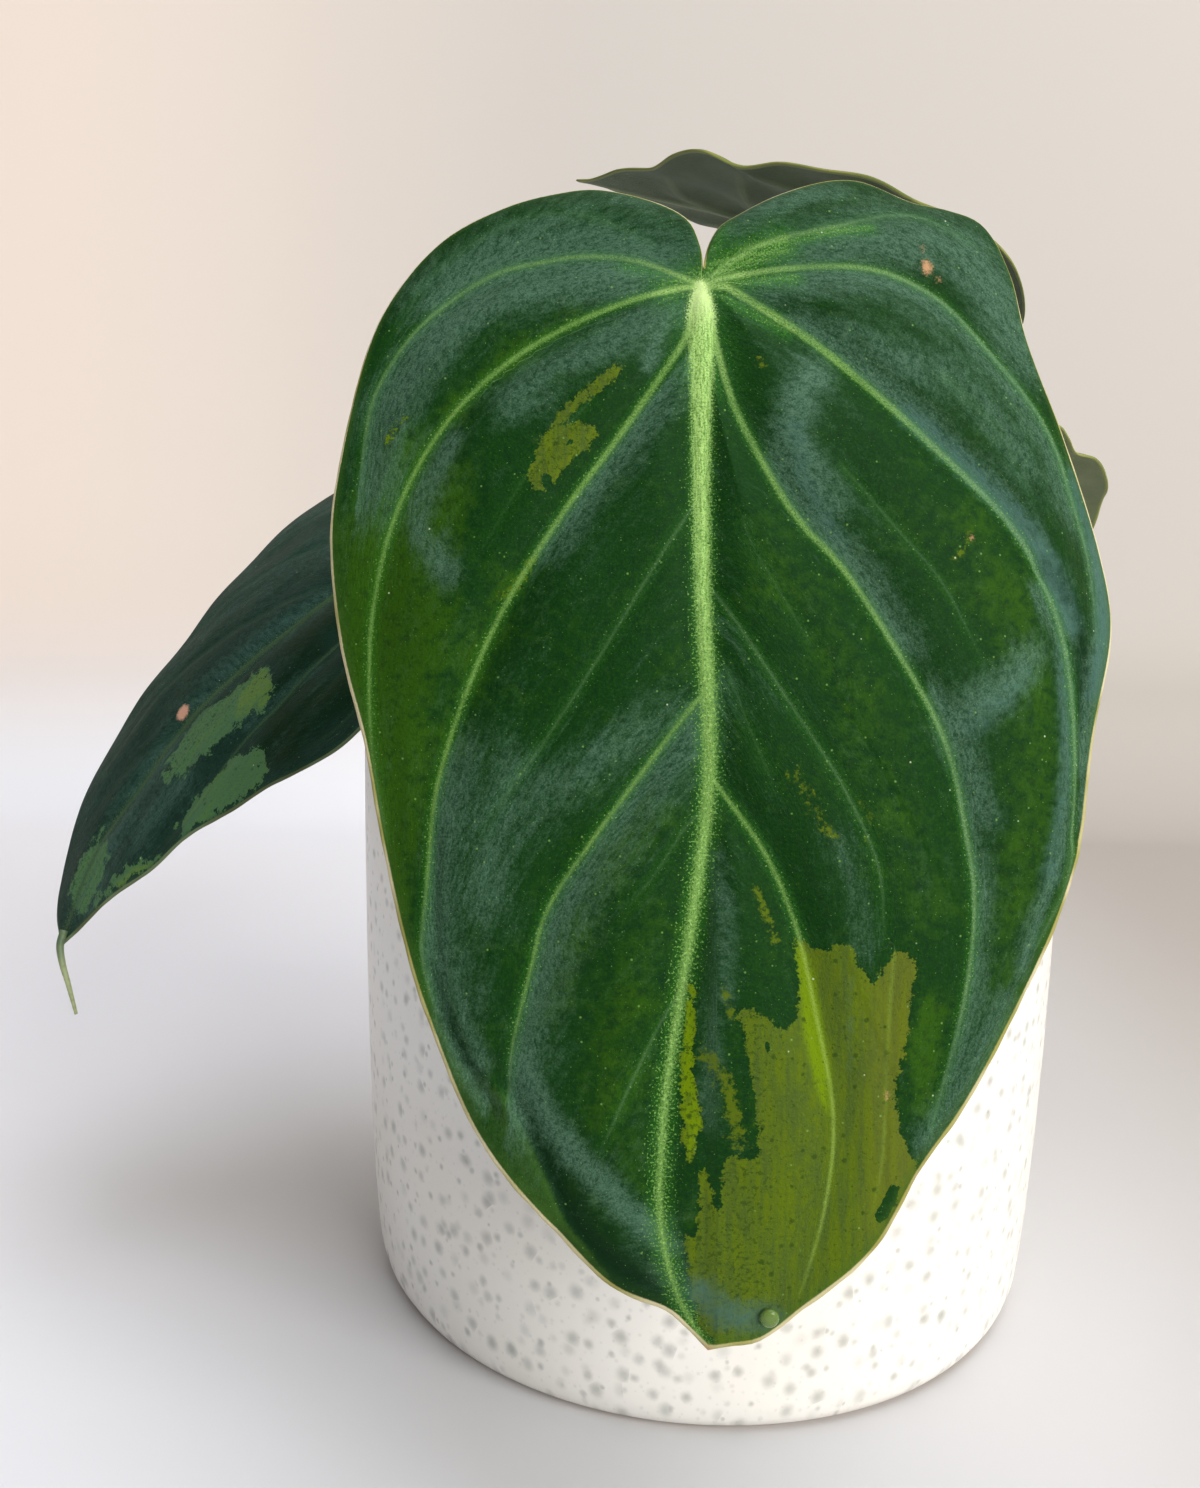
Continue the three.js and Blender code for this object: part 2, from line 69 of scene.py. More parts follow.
class Finish:
    """One material, and the steps that its pattern is mixed from."""

    def __init__(self, name, **uniform):
        self.material = bpy.data.materials.new(name)
        self.material.use_nodes = True
        self.tree = self.material.node_tree
        self.shader = self.tree.nodes["Principled BSDF"]
        for socket, amount in uniform.items():
            self.shader.inputs[socket.replace("_", " ")].default_value = amount

    def add(self, kind, inputs, **settings):
        node = self.tree.nodes.new("ShaderNode" + kind)
        for name, setting in settings.items():
            setattr(node, name, setting)
        for socket, source in inputs.items():
            if isinstance(source, bpy.types.NodeSocket):
                self.tree.links.new(source, node.inputs[socket])
            else:
                node.inputs[socket].default_value = source
        return node

    def place(self):
        return self.add("TexCoord", {}).outputs["Object"]

    def painted(self, name, output="Fac"):
        return self.add("Attribute", {}, attribute_name=name).outputs[output]

    def math(self, operation, first, second=0.0):
        return self.add("Math", {0: first, 1: second}, operation=operation).outputs[0]

    def total(self, first, *others):
        for other in others:
            first = self.math("ADD", first, other)
        return first

    def product(self, first, *others):
        for other in others:
            first = self.math("MULTIPLY", first, other)
        return first

    def sway(self, pattern, reach):
        """The pattern moved to lie about nought, times reach."""
        return self.product(self.math("SUBTRACT", pattern, 0.5), reach)

    def stretched(self, place, *scale):
        return self.add("Mapping", {"Vector": place, "Scale": scale}).outputs[0]

    def noise(self, place, scale, detail=2.0, roughness=0.5):
        inputs = {"Vector": place, "Scale": scale, "Detail": detail, "Roughness": roughness}
        return self.add("TexNoise", inputs).outputs["Fac"]

    def fade(self, amount, start, end, low=0.0, high=1.0):
        """Low where amount is at start, high where it is at end, and smooth between them."""
        inputs = {"Value": amount, "From Min": start, "From Max": end, "To Min": low, "To Max": high}
        return self.add("MapRange", inputs, interpolation_type="SMOOTHSTEP").outputs["Result"]

    def mix(self, share, under, over, blend="MIX"):
        under = colour(under) if isinstance(under, str) else under
        over = colour(over) if isinstance(over, str) else over
        node = self.add("Mix", {0: share, 6: under, 7: over}, data_type="RGBA", blend_type=blend)
        return node.outputs[2]

    def wash(self, under, over, amount, start, end, most=1.0):
        """The colour over laid on under, from none of it where amount is at start to most at end."""
        return self.mix(self.fade(amount, start, end, 0, most), under, over)

    def cells(self, place, scale, **settings):
        """Cells strewn on the surface: the distance from their middles, and three lots drawn for each."""
        strewn = self.add("TexVoronoi", {"Vector": place, "Scale": scale}, **settings)
        lots = self.add("SeparateColor", {0: strewn.outputs["Color"]})
        return strewn.outputs["Distance"], lots.outputs

    def axes(self, place):
        return self.add("SeparateXYZ", {0: place}).outputs

    def cover(self, socket, source):
        self.tree.links.new(source, self.shader.inputs[socket])

    def bump(self, height, depth, strength=1.0):
        """Raises the surface by the height pattern, depth metres at most."""
        node = self.add("Bump", {"Height": height, "Distance": depth, "Strength": strength})
        self.cover("Normal", node.outputs["Normal"])


def turn_profile(bm, profile, sides):
    """Spins a profile of [radius, height] in millimetres once round the upright axis."""
    corners = [bm.verts.new((radius * MM, 0, height * MM)) for radius, height in profile]
    edges = [bm.edges.new(pair) for pair in zip(corners, corners[1:])]
    bmesh.ops.spin(bm, geom=corners + edges, cent=(0, 0, 0), axis=(0, 0, 1), angle=2 * math.pi,
                   steps=sides, use_merge=True, use_duplicate=False)
    bmesh.ops.remove_doubles(bm, verts=bm.verts, dist=1e-6)
    bmesh.ops.recalc_face_normals(bm, faces=bm.faces)


def make_piece(bm, name, finishes, node=None):
    """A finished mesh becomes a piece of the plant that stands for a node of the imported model."""
    mesh = bpy.data.meshes.new(name)
    bm.to_mesh(mesh)
    bm.free()
    mesh.polygons.foreach_set("use_smooth", [True] * len(mesh.polygons))
    for finish in finishes:
        mesh.materials.append(finish.material)
    piece = bpy.data.objects.new(name, mesh)
    bpy.context.scene.collection.objects.link(piece)
    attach(piece, "root")
    if node:
        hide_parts(node)
    return piece


glaze = Finish("speckled_glaze", Roughness=GLAZE_ROUGHNESS, IOR=1.5)
pot_place = glaze.place()
pot_x, pot_y, pot_height = glaze.axes(pot_place)
cloud = glaze.noise(pot_place, 28, 3)
glaze_colour = glaze.wash(GLAZE_WHITE, GLAZE_WARM, cloud, 0.35, 0.7, 0.5)
pot_turn = glaze.math("ARCTAN2", pot_x, glaze.product(pot_y, -1))
pot_reach = glaze.math("SQRT", glaze.total(glaze.math("POWER", pot_x, 2), glaze.math("POWER", pot_y, 2)))
sprinkled = glaze.add("CombineXYZ", {
    0: glaze.product(pot_turn, 0.055), 1: glaze.math("SUBTRACT", pot_height, pot_reach)}).outputs[0]
low = glaze.fade(pot_height, 0.075, 0.03, 0.7, 1)
ragged = glaze.sway(glaze.noise(pot_place, 900, 2), 0.16)
for speck_scale, smallest, largest, strength in SPECK_SIZES:
    off_middle, lots = glaze.cells(sprinkled, speck_scale, voronoi_dimensions="2D")
    reach = glaze.product(glaze.fade(lots[0], 0.1, 0.9, smallest, largest), low)
    far = glaze.math("DIVIDE", glaze.total(off_middle, ragged), reach)
    speck_colour = glaze.mix(lots[1], SPECK_GREEN, SPECK_DARK)
    share = glaze.product(glaze.fade(far, 1.9, 0.1, 0, strength), glaze.fade(lots[2], 0.1, 0.7, 0.35, 1))
    glaze_colour = glaze.mix(share, glaze_colour, speck_colour)
bare = glaze.fade(pot_height, 0.0011, 0.0005)
glaze_colour = glaze.mix(bare, glaze_colour, BARE_CLAY)
glaze.cover("Base Color", glaze_colour)
glaze.cover("Roughness", glaze.fade(bare, 0, 1, GLAZE_ROUGHNESS, 0.9))
glaze.bump(glaze.noise(pot_place, 210, 3), 0.0003, 0.35)

pot_mesh = bmesh.new()
turn_profile(pot_mesh, POT_PROFILE, POT_SIDES)
for vert in pot_mesh.verts:
    swell = noise.noise(vert.co * 34) * POT_WOBBLE * MM
    side = Vector((vert.co.x, vert.co.y, 0))
    if side.length > 0.04 and vert.co.z > 0.001:
        vert.co += side.normalized() * swell
make_piece(pot_mesh, "glazed_pot", [glaze], node="pot")


# Soil: dark peat pressed into the pot, its top crumbly and a finger's width below the rim.
# Loose chips of bark, lumps of pale pumice and grit lie on it, as in a mix for climbing aroids.
SOIL_TOP = 80
SOIL_PROFILE_FOOT = [(0, 7.3), (44.5, 7.3), (47.5, 10.4), (48.6, 14), (49.7, 79)]
SOIL_RADIUS = 49.9
SOIL_RINGS = 46
SOIL_SIDES = 150
SOIL_LUMPS = [(1.5, 0.09), (1.3, 0.3), (0.7, 0.8)]
ROUGHNESS_SEED = 7
BARK_COUNT = 330
PUMICE_COUNT = 150
GRIT_COUNT = 260
STEM_FOOT = Vector((11, 6))


def bed_height(x, y):
    """How high the crumbly top of the soil stands at a place, all in millimetres."""
    spot = Vector((x, y, 0))
    rise = sum(lift * noise.noise(spot * scale) for lift, scale in SOIL_LUMPS)
    mound = 2.2 * math.exp(-((Vector((x, y)) - STEM_FOOT).length / 13) ** 2)
    return SOIL_TOP - 0.8 + rise + mound


soil_mesh = bmesh.new()
soil_profile = list(SOIL_PROFILE_FOOT)
for ring in range(SOIL_RINGS, -1, -1):
    soil_profile.append((SOIL_RADIUS * ring / SOIL_RINGS, SOIL_TOP))
turn_profile(soil_mesh, soil_profile, SOIL_SIDES)
for vert in soil_mesh.verts:
    if vert.co.z > (SOIL_TOP - 0.5) * MM:
        vert.co.z = bed_height(vert.co.x / MM, vert.co.y / MM) * MM

peat = Finish("damp_peat", Roughness=0.95)
peat_place = peat.place()
crumbs = peat.noise(peat_place, 420, 4, 0.65)
peat_colour = peat.wash("#17100b", "#3d2c1f", crumbs, 0.3, 0.7)
peat_colour = peat.wash(peat_colour, "#55402c", peat.noise(peat_place, 60, 3), 0.55, 0.7, 0.5)
peat.cover("Base Color", peat_colour)
peat.bump(crumbs, 0.0012)
make_piece(soil_mesh, "soil_bed", [peat], node="soil")


# Vector noise is placed by the clock unless it has a seed. It roughens the lumps here and, further
# on, the shoot and its roots.
noise.seed_set(ROUGHNESS_SEED)


def scatter(bm, count, seed, make_lump):
    """Sets lumps on the soil at random, clear of the wall and the stem. Each keeps a tone of its own."""
    draw = Random(seed)
    tone = bm.verts.layers.float.new("tone")
    placed = 0
    while placed < count:
        distance = (SOIL_RADIUS - 5) * math.sqrt(draw.random())
        angle = draw.uniform(0, 2 * math.pi)
        spot = Vector((distance * math.cos(angle), distance * math.sin(angle)))
        if (spot - STEM_FOOT).length < 8:
            continue
        placed += 1
        size, verts = make_lump(bm, draw)
        tilt = Matrix.Rotation(draw.gauss(0, 0.35), 3, "X") @ Matrix.Rotation(draw.gauss(0, 0.35), 3, "Y")
        turn = Matrix.Rotation(draw.uniform(0, 2 * math.pi), 3, "Z") @ tilt
        seat = Vector((spot.x, spot.y, bed_height(spot.x, spot.y) + size)) * MM
        shade = draw.random()
        for vert in verts:
            jitter = noise.noise_vector(vert.co * 700 + Vector((placed, 0, 0)))
            vert.co = seat + turn @ (vert.co * (1 + 0.16 * jitter.x) + jitter * 0.0002)
            vert[tone] = shade


def bark_chip(bm, draw):
    length = draw.uniform(5, 12)
    sizes = Vector((length, length * draw.uniform(0.4, 0.75), draw.uniform(1.4, 3.2)))
    cube = bmesh.ops.create_cube(bm, size=1)["verts"]
    edges = list({edge for vert in cube for edge in vert.link_edges})
    rounded = bmesh.ops.bevel(bm, geom=edges, offset=0.14, affect="EDGES", segments=1, profile=0.5,
                              material=-1)
    verts = list({vert for face in rounded["faces"] for vert in face.verts})
    for vert in verts:
        vert.co = Vector((vert.co.x * sizes.x, vert.co.y * sizes.y, vert.co.z * sizes.z)) * MM
    return 0.25 * sizes.z + draw.uniform(0, 1.6), verts


def pumice_lump(bm, draw):
    radius = draw.uniform(0.9, 2.4)
    verts = bmesh.ops.create_icosphere(bm, subdivisions=2, radius=radius * MM)["verts"]
    return 0.45 * radius + draw.uniform(0, 1.2), verts


def grit_grain(bm, draw):
    radius = draw.uniform(0.4, 0.9)
    verts = bmesh.ops.create_icosphere(bm, subdivisions=1, radius=radius * MM)["verts"]
    return 0.3 * radius + draw.uniform(0, 1), verts


bark = Finish("pine_bark", Roughness=0.85)
bark_place = bark.place()
fibre = bark.noise(bark.stretched(bark_place, 1, 3, 3), 260, 4, 0.6)
bark_tone = bark.painted("tone")
bark_colour = bark.mix(bark_tone, "#2e1e14", "#7b563a")
bark_colour = bark.wash(bark_colour, "#1c120c", fibre, 0.35, 0.7, 0.7)
bark.cover("Base Color", bark_colour)
bark.bump(fibre, 0.0006)

pumice = Finish("pumice", Roughness=0.95)
pumice_place = pumice.place()
pores = pumice.noise(pumice_place, 900, 3, 0.6)
pumice_colour = pumice.mix(pumice.painted("tone"), "#a39a8a", "#e3dccd")
pumice_colour = pumice.wash(pumice_colour, "#6a6055", pores, 0.5, 0.7, 0.6)
pumice.cover("Base Color", pumice_colour)
pumice.bump(pores, 0.0005)

STREWN = [("bark_chips", BARK_COUNT, 11, bark_chip, bark),
          ("pumice_lumps", PUMICE_COUNT, 23, pumice_lump, pumice),
          ("soil_grit", GRIT_COUNT, 37, grit_grain, bark)]
for strewn_name, count, seed, make_lump, finish in STREWN:
    strewn_mesh = bmesh.new()
    scatter(strewn_mesh, count, seed, make_lump)
    make_piece(strewn_mesh, strewn_name, [finish], node="soil")


# Stem: a young climbing shoot, green and satin, with a swollen ring and scar at each joint.
# Two aerial roots run from it into the soil, and a furled new leaf stands in its sheath on top.
STEM_ROUTE = [(10, 6, 62), (11, 6, 84), (9.5, 7, 104), (11.5, 8, 126)]
STEM_RADIUS = 4.2
STEM_RINGS = [88, 96, 103.5, 110.8, 118]
RING_SWELL = 0.75
SHEATH_ROUTE = [(11.5, 8, 122), (11.5, 8, 127), (12.4, 8, 135), (14, 8, 146)]
ROOTS = [(97, -11, -9), (90, 9, -10)]
ROOT_RADIUS = 1
ROOT_ENTRY = SOIL_TOP + 4.5
ROOT_END = 77


def smooth_path(points, count):
    """Evenly spaced points on a smooth curve through the points given."""
    knots = np.array(points, float)
    knots = np.vstack([2 * knots[0] - knots[1], knots, 2 * knots[-1] - knots[-2]])
    share = np.linspace(0, 1, 24, endpoint=False)[:, None]
    pieces = []
    for before, start, end, after in zip(knots, knots[1:], knots[2:], knots[3:]):
        lead = math.sqrt(np.linalg.norm(start - before))
        span = math.sqrt(np.linalg.norm(end - start))
        trail = math.sqrt(np.linalg.norm(after - end))
        leaving = (start - before) / lead - (end - before) / (lead + span) + (end - start) / span
        arriving = (end - start) / span - (after - start) / (span + trail) + (after - end) / trail
        pieces.append((2 * share ** 3 - 3 * share ** 2 + 1) * start
                      + (share ** 3 - 2 * share ** 2 + share) * leaving * span
                      + (3 * share ** 2 - 2 * share ** 3) * end
                      + (share ** 3 - share ** 2) * arriving * span)
    fine = np.vstack(pieces + [knots[-2:-1]])
    run = np.concatenate([[0], np.cumsum(np.linalg.norm(np.diff(fine, axis=0), axis=1))])
    wanted = np.linspace(0, run[-1], count + 1)
    return np.column_stack([np.interp(wanted, run, fine[:, axis]) for axis in range(fine.shape[1])])


def grow_shoot(bm, route, radius_at, sides=20, steps=60):
    """Grows a closed round shoot along a smooth route, one ring of its skin after another."""
    path = [Vector(point) * MM for point in smooth_path(route, steps)]
    heading = (path[1] - path[0]).normalized()
    start = Matrix.Translation(path[0]) @ heading.to_track_quat("Z", "Y").to_matrix().to_4x4()
    radii = [radius_at(step / steps, path[step] / MM) * MM for step in range(steps + 1)]
    circle = bmesh.ops.create_circle(bm, cap_ends=True, segments=sides, radius=radii[0], matrix=start)
    edges = list({edge for vert in circle["verts"] for edge in vert.link_edges})
    for step in range(1, steps + 1):
        ahead = (path[min(step + 1, steps)] - path[step - 1]).normalized()
        turn = heading.rotation_difference(ahead)
        made = bmesh.ops.extrude_edge_only(bm, edges=edges)["geom"]
        ring = {item for item in made if isinstance(item, bmesh.types.BMVert)}
        edges = [item for item in made
                 if isinstance(item, bmesh.types.BMEdge) and ring.issuperset(item.verts)]
        for vert in ring:
            spoke = (vert.co - path[step - 1]) * (radii[step] / radii[step - 1])
            vert.co = path[step] + turn @ spoke
        heading = ahead
    bmesh.ops.contextual_create(bm, geom=edges)
    bmesh.ops.recalc_face_normals(bm, faces=bm.faces)


def stem_radius(share, point):
    swell = sum(math.exp(-((point.z - ring) / 1.3) ** 2) for ring in STEM_RINGS)
    crease = sum(math.exp(-((point.z - ring - 1.2) / 0.35) ** 2) for ring in STEM_RINGS)
    return STEM_RADIUS - 0.15 + RING_SWELL * swell - 0.3 * crease


stem_mesh = bmesh.new()
grow_shoot(stem_mesh, STEM_ROUTE, stem_radius, sides=40, steps=190)
for vert in stem_mesh.verts:
    vert.co += noise.noise_vector(vert.co * 240) * 0.00018

shoot = Finish("green_shoot", Roughness=0.45)
shoot_place = shoot.place()
shoot_height = shoot.axes(shoot_place)[2]
streaks = shoot.noise(shoot.stretched(shoot_place, 6, 6, 0.6), 160, 3)
shoot_colour = shoot.wash("#3f5a24", "#6e8a3f", streaks, 0.35, 0.65)
for ring in STEM_RINGS:
    off = shoot.math("ABSOLUTE", shoot.math("SUBTRACT", shoot_height, (ring + 1.1) * MM))
    shoot_colour = shoot.wash(shoot_colour, "#6b5636", off, 0.0009, 0.0003, 0.85)
shoot.cover("Base Color", shoot_colour)
shoot.bump(streaks, 0.0004, 0.6)
make_piece(stem_mesh, "stem_shoot", [shoot], node="stem")


def sheath_radius(share, point):
    return max(0.12, (STEM_RADIUS - 0.3) * (1 - share ** 2.4) ** 0.9)


SHEATH_MIDDLE = Vector((0.0125, 0.008))
sheath_mesh = bmesh.new()
grow_shoot(sheath_mesh, SHEATH_ROUTE, sheath_radius, sides=36, steps=80)
for vert in sheath_mesh.verts:
    overlap = math.atan2(vert.co.y - 0.008, vert.co.x - 0.012) + vert.co.z * 60
    fold = 1 - 0.11 * math.exp(-(math.sin(overlap / 2) / 0.12) ** 2)
    vert.co.xy = SHEATH_MIDDLE + (vert.co.xy - SHEATH_MIDDLE) * fold
sheath = Finish("furled_sheath", Roughness=0.42)
sheath_place = sheath.place()
ribs = sheath.noise(sheath.stretched(sheath_place, 7, 7, 0.5), 190, 2)
sheath_height = sheath.axes(sheath_place)[2]
sheath_colour = sheath.wash("#6f8a42", "#8a5a3a", sheath_height, 0.124, 0.144)
sheath.cover("Base Color", sheath.wash(sheath_colour, "#a98f5c", ribs, 0.4, 0.65, 0.5))
sheath.bump(ribs, 0.0004, 0.7)
make_piece(sheath_mesh, "furled_leaf", [sheath], node="stem")

root_mesh = bmesh.new()
stem_line = smooth_path(STEM_ROUTE, 200)
for root_height, reach_x, reach_y in ROOTS:
    start = stem_line[np.searchsorted(stem_line[:, 2], root_height)]
    bends = [(0.15, root_height), (0.5, root_height - 1), (0.9, root_height - 5), (1, ROOT_ENTRY),
             (1.02, ROOT_END)]
    route = [(start[0] + reach_x * out, start[1] + reach_y * out, height) for out, height in bends]
    grow_shoot(root_mesh, route, lambda share, point: ROOT_RADIUS * (1.15 - 0.35 * share),
               sides=14, steps=60)
for vert in root_mesh.verts:
    vert.co += noise.noise_vector(vert.co * 420) * 0.00022
root_skin = Finish("root_skin", Roughness=0.75)
root_place = root_skin.place()
root_grain = root_skin.noise(root_place, 700, 3)
root_skin.cover("Base Color", root_skin.wash("#8a6a44", "#b39a6c", root_grain, 0.3, 0.7))
root_skin.bump(root_grain, 0.0003)
make_piece(root_mesh, "aerial_roots", [root_skin], node="stem")


# Leaf blades: each is one thin heart-shaped sheet, velvety above and dull below. The veins are
# sunk into its upper face and stand out of its lower one, and the blade swells between them.
BLADE_THICKNESS = 0.55
RIB_THICKNESS = 1.2
VEIN_THICKNESS = 0.45
VEIN_FURROW = 3.0
FINE_FURROW = 1.1
FINE_FURROW_DEPTH = 0.2
RIB_RELIEF = 0.35
FOLD_DEPTH = 0.9
RIPPLE = 0.35
MARGIN_WAVES = 15
RING_CROWDING = 1.12
MEASURE_LIMIT = 9
# Soft marks painted onto a blade. Two of them are painted sheen, in bands on the slopes and as a mist, one
# is a painted highlight on the flap by the tip, and the fold both sinks the blade and paints shade into its
# crease.
SOFT_MARKS = ("veil", "lush", "fold", "bloom", "stain", "flush", "isle", "flap")


def along_path(u, v, path):
    """For spots in the blade's plane: distance to a path, its side as 1 or -1, and the share along it."""
    nearest = np.full(len(u), 1e9)
    side = np.ones(len(u))
    share = np.zeros(len(u))
    for place, (start, end) in enumerate(zip(path, path[1:])):
        step = end - start
        from_u, from_v = u - start[0], v - start[1]
        held = np.clip((from_u * step[0] + from_v * step[1]) / (step @ step), 0, 1)
        far = np.hypot(from_u - held * step[0], from_v - held * step[1])
        closer = far < nearest
        nearest[closer] = far[closer]
        side[closer] = np.sign(step[0] * from_v - step[1] * from_u)[closer]
        share[closer] = (place + held[closer]) / (len(path) - 1)
    return nearest, side, share


def inside_outline(u, v, outline):
    """Distance in from a closed outline, negative outside it."""
    path = np.vstack([outline, outline[:1]]).astype(float)
    far, _, _ = along_path(u, v, path)
    within = np.zeros(len(u), bool)
    for (start_u, start_v), (end_u, end_v) in zip(path, path[1:]):
        crosses = (start_v > v) != (end_v > v)
        rise = np.where(crosses, end_v - start_v, 1)
        within ^= crosses & (u < start_u + (end_u - start_u) * (v - start_v) / rise)
    return np.where(within, far, -far)


def brushed(u, v, strokes):
    """Soft strokes in the blade's plane, each with its path, half width and strength. One with a
    side is cut off sharply at its path. Where the path runs towards the tip, side 1 keeps what lies
    at lower u, and -1 what lies at higher u."""
    total = np.zeros(len(u))
    for points, half_width, strength, *sides in strokes:
        far, side, _ = along_path(u, v, smooth_path(points, 24))
        shade = strength * np.exp(-(far / half_width) ** 2)
        for kept in sides:
            shade *= np.clip(0.5 + kept * side * far / 0.5, 0, 1)
        total = np.maximum(total, shade)
    return total


def across_veins(u, v, veins):
    """A measure in millimetres that grows across the veins, so that the pile's streaks follow them."""
    across = np.zeros(len(u))
    for points, *_ in veins:
        if abs(points[0][0]) < 4:
            path = smooth_path(points, 16)
            path = np.vstack([path, 4 * path[-1] - 3 * path[-2]])
            far, side, _ = along_path(u, v, path)
            across += np.where(u * path[-1][0] > 0, 4 * side * far / (far + 4), 0)
    return across


class Leaf:
    """A blade in its own plane: u runs to the right seen from above, v from the stalk to the tip."""

    roll_start = 0
    right_roll = 0
    lobe_droop = 0

    def __init__(self, base, tip, upper, **shape):
        self.base = Vector(base)
        self.along = (Vector(tip) - self.base).normalized()
        self.length = (Vector(tip) - self.base).length
        upper = Vector(upper)
        self.upper = (upper - self.along * upper.dot(self.along)).normalized()
        self.across = self.upper.cross(self.along)
        self.__dict__.update({mark: [] for mark in SOFT_MARKS}, **shape)

    def form(self, u, v):
        """Height of the blade's broad bend over its plane."""
        share = v / self.length
        height = 4 * self.bow * share * (1 - share) - self.side_droop * u ** 2
        height = height - np.where(u > self.roll_start, self.right_roll * (u - self.roll_start) ** 2, 0)
        return height - np.where(v < 0, self.lobe_droop * v ** 2, 0)

    def place(self, u, v, height):
        """Points of the plant for spots on the blade, as rows of metres."""
        axes = np.array([self.across, self.along, self.upper])
        return (np.array(self.base) + np.column_stack([u, v, height]) @ axes) * MM


def blade_mesh(leaf, columns, rings):
    """A grid is wrapped round the stalk: its rows run to the margin, its columns along the margin."""
    bm = bmesh.new()
    bmesh.ops.create_grid(bm, x_segments=columns, y_segments=rings, size=0.5)
    grid = np.array([vert.co[:2] for vert in bm.verts]) + 0.5
    half = columns // 2
    left = smooth_path(leaf.left, half)
    right = smooth_path(leaf.right, columns - half)[::-1]
    margin = np.vstack([left, right[1:]])
    column = np.rint(grid[:, 0] * columns).astype(int)
    reach = 1 - (1 - grid[:, 1]) ** RING_CROWDING
    ragged = 1 + 0.0008 * np.sin(column * 0.9) * np.sin(column * 0.37 + 1)
    u, v = (margin[column, axis] * reach * np.where(reach > 0.99, ragged, 1) for axis in (0, 1))

    painted = {}
    rib_far, rib_side, rib_share = along_path(u, v, smooth_path(leaf.rib, 40))
    rib_width = np.interp(rib_share, *zip(*leaf.rib_widths))
    painted["rib"] = rib_side * np.minimum(rib_far, MEASURE_LIMIT)
    painted["rib_half"] = rib_width
    painted["rib_far"] = rib_far
    vein_far = np.full(len(u), 1e9)
    vein_signed, vein_half, glow = np.zeros(len(u)), np.zeros(len(u)), np.zeros(len(u))
    furrow = rib_far.copy()
    fine_furrow = np.full(len(u), 1e9)
    for points, start_width, end_width, strength in leaf.veins:
        far, side, share = along_path(u, v, smooth_path(points, 30))
        width = start_width + (end_width - start_width) * share
        closer = far < vein_far
        vein_far[closer] = far[closer]
        vein_signed[closer] = (side * far)[closer]
        vein_half[closer] = width[closer]
        glow[closer] = (strength * np.clip((1.12 - share) / 0.3, 0, 1))[closer]
        if strength > 0.45:
            furrow = np.minimum(furrow, far)
        else:
            fine_furrow = np.minimum(fine_furrow, far)
    painted["vein"] = np.clip(vein_signed, -MEASURE_LIMIT, MEASURE_LIMIT)
    painted["vein_half"] = vein_half
    painted["vein_far"] = vein_far
    painted["glow"] = glow
    painted["edge"] = inside_outline(u, v, margin[:-1])
    painted["rim"] = np.interp(v, *zip(*leaf.rim))
    painted["rib_share"] = rib_share
    for mark in SOFT_MARKS:
        painted[mark] = brushed(u, v, getattr(leaf, mark))
    for mark in ("patch", "lime", "scar"):
        painted[mark] = np.full(len(u), -MEASURE_LIMIT, float)
        for outline in leaf.patches.get(mark, []):
            painted[mark] = np.maximum(painted[mark], inside_outline(u, v, np.array(outline)))
        painted[mark] = np.minimum(painted[mark], MEASURE_LIMIT)

    height = leaf.form(u, v)
    height += leaf.quilting * (1 - np.exp(-(furrow / VEIN_FURROW) ** 2)) * (1 - reach ** 6)
    height -= FINE_FURROW_DEPTH * np.exp(-(fine_furrow / FINE_FURROW) ** 2) * (1 - reach ** 6)
    height += RIB_RELIEF * np.exp(-(rib_far / (0.75 * rib_width)) ** 2) * rib_width
    height -= FOLD_DEPTH * painted["fold"]
    height += leaf.wave * np.sin(2 * math.pi * MARGIN_WAVES * grid[:, 0]) * reach ** 5
    ripple = [noise.noise(Vector((a * 0.16, b * 0.1, leaf.length))) for a, b in zip(u, v)]
    height += RIPPLE * np.array(ripple) * np.clip(painted["edge"] / 6, 0, 1)
    height -= 0.15 * (reach > 0.999)
    away = np.clip(np.hypot(u, v) / 6, 0, 1)
    taper = (1 - rib_share) ** 0.7
    thickness = BLADE_THICKNESS + RIB_THICKNESS * np.exp(-(rib_far / 1.3) ** 2) * taper * away
    thickness += VEIN_THICKNESS * np.exp(-(vein_far / 0.8) ** 2) * glow * away
    thickness *= np.where(reach > 0.999, 0.5, 1)

    spots = leaf.place(u, v, height + BLADE_THICKNESS / 2)
    across = across_veins(u, v, leaf.veins)
    layers = {name: bm.verts.layers.float.new(name) for name in painted}
    flat = bm.verts.layers.float_vector.new("flat")
    comb = bm.verts.layers.float_vector.new("comb")
    depth = bm.verts.layers.float.new("depth")
    for index, vert in enumerate(bm.verts):
        vert.co = spots[index]
        vert[flat] = (u[index], v[index], 0)
        vert[comb] = (across[index], math.hypot(u[index], v[index]), 0)
        vert[depth] = thickness[index] * MM
        for name, layer in layers.items():
            vert[layer] = painted[name][index]
    bmesh.ops.remove_doubles(bm, verts=bm.verts, dist=1e-7)
    bm.normal_update()
    if sum(face.normal.dot(leaf.upper) for face in bm.faces) < 0:
        bmesh.ops.reverse_faces(bm, faces=bm.faces)
        bm.normal_update()
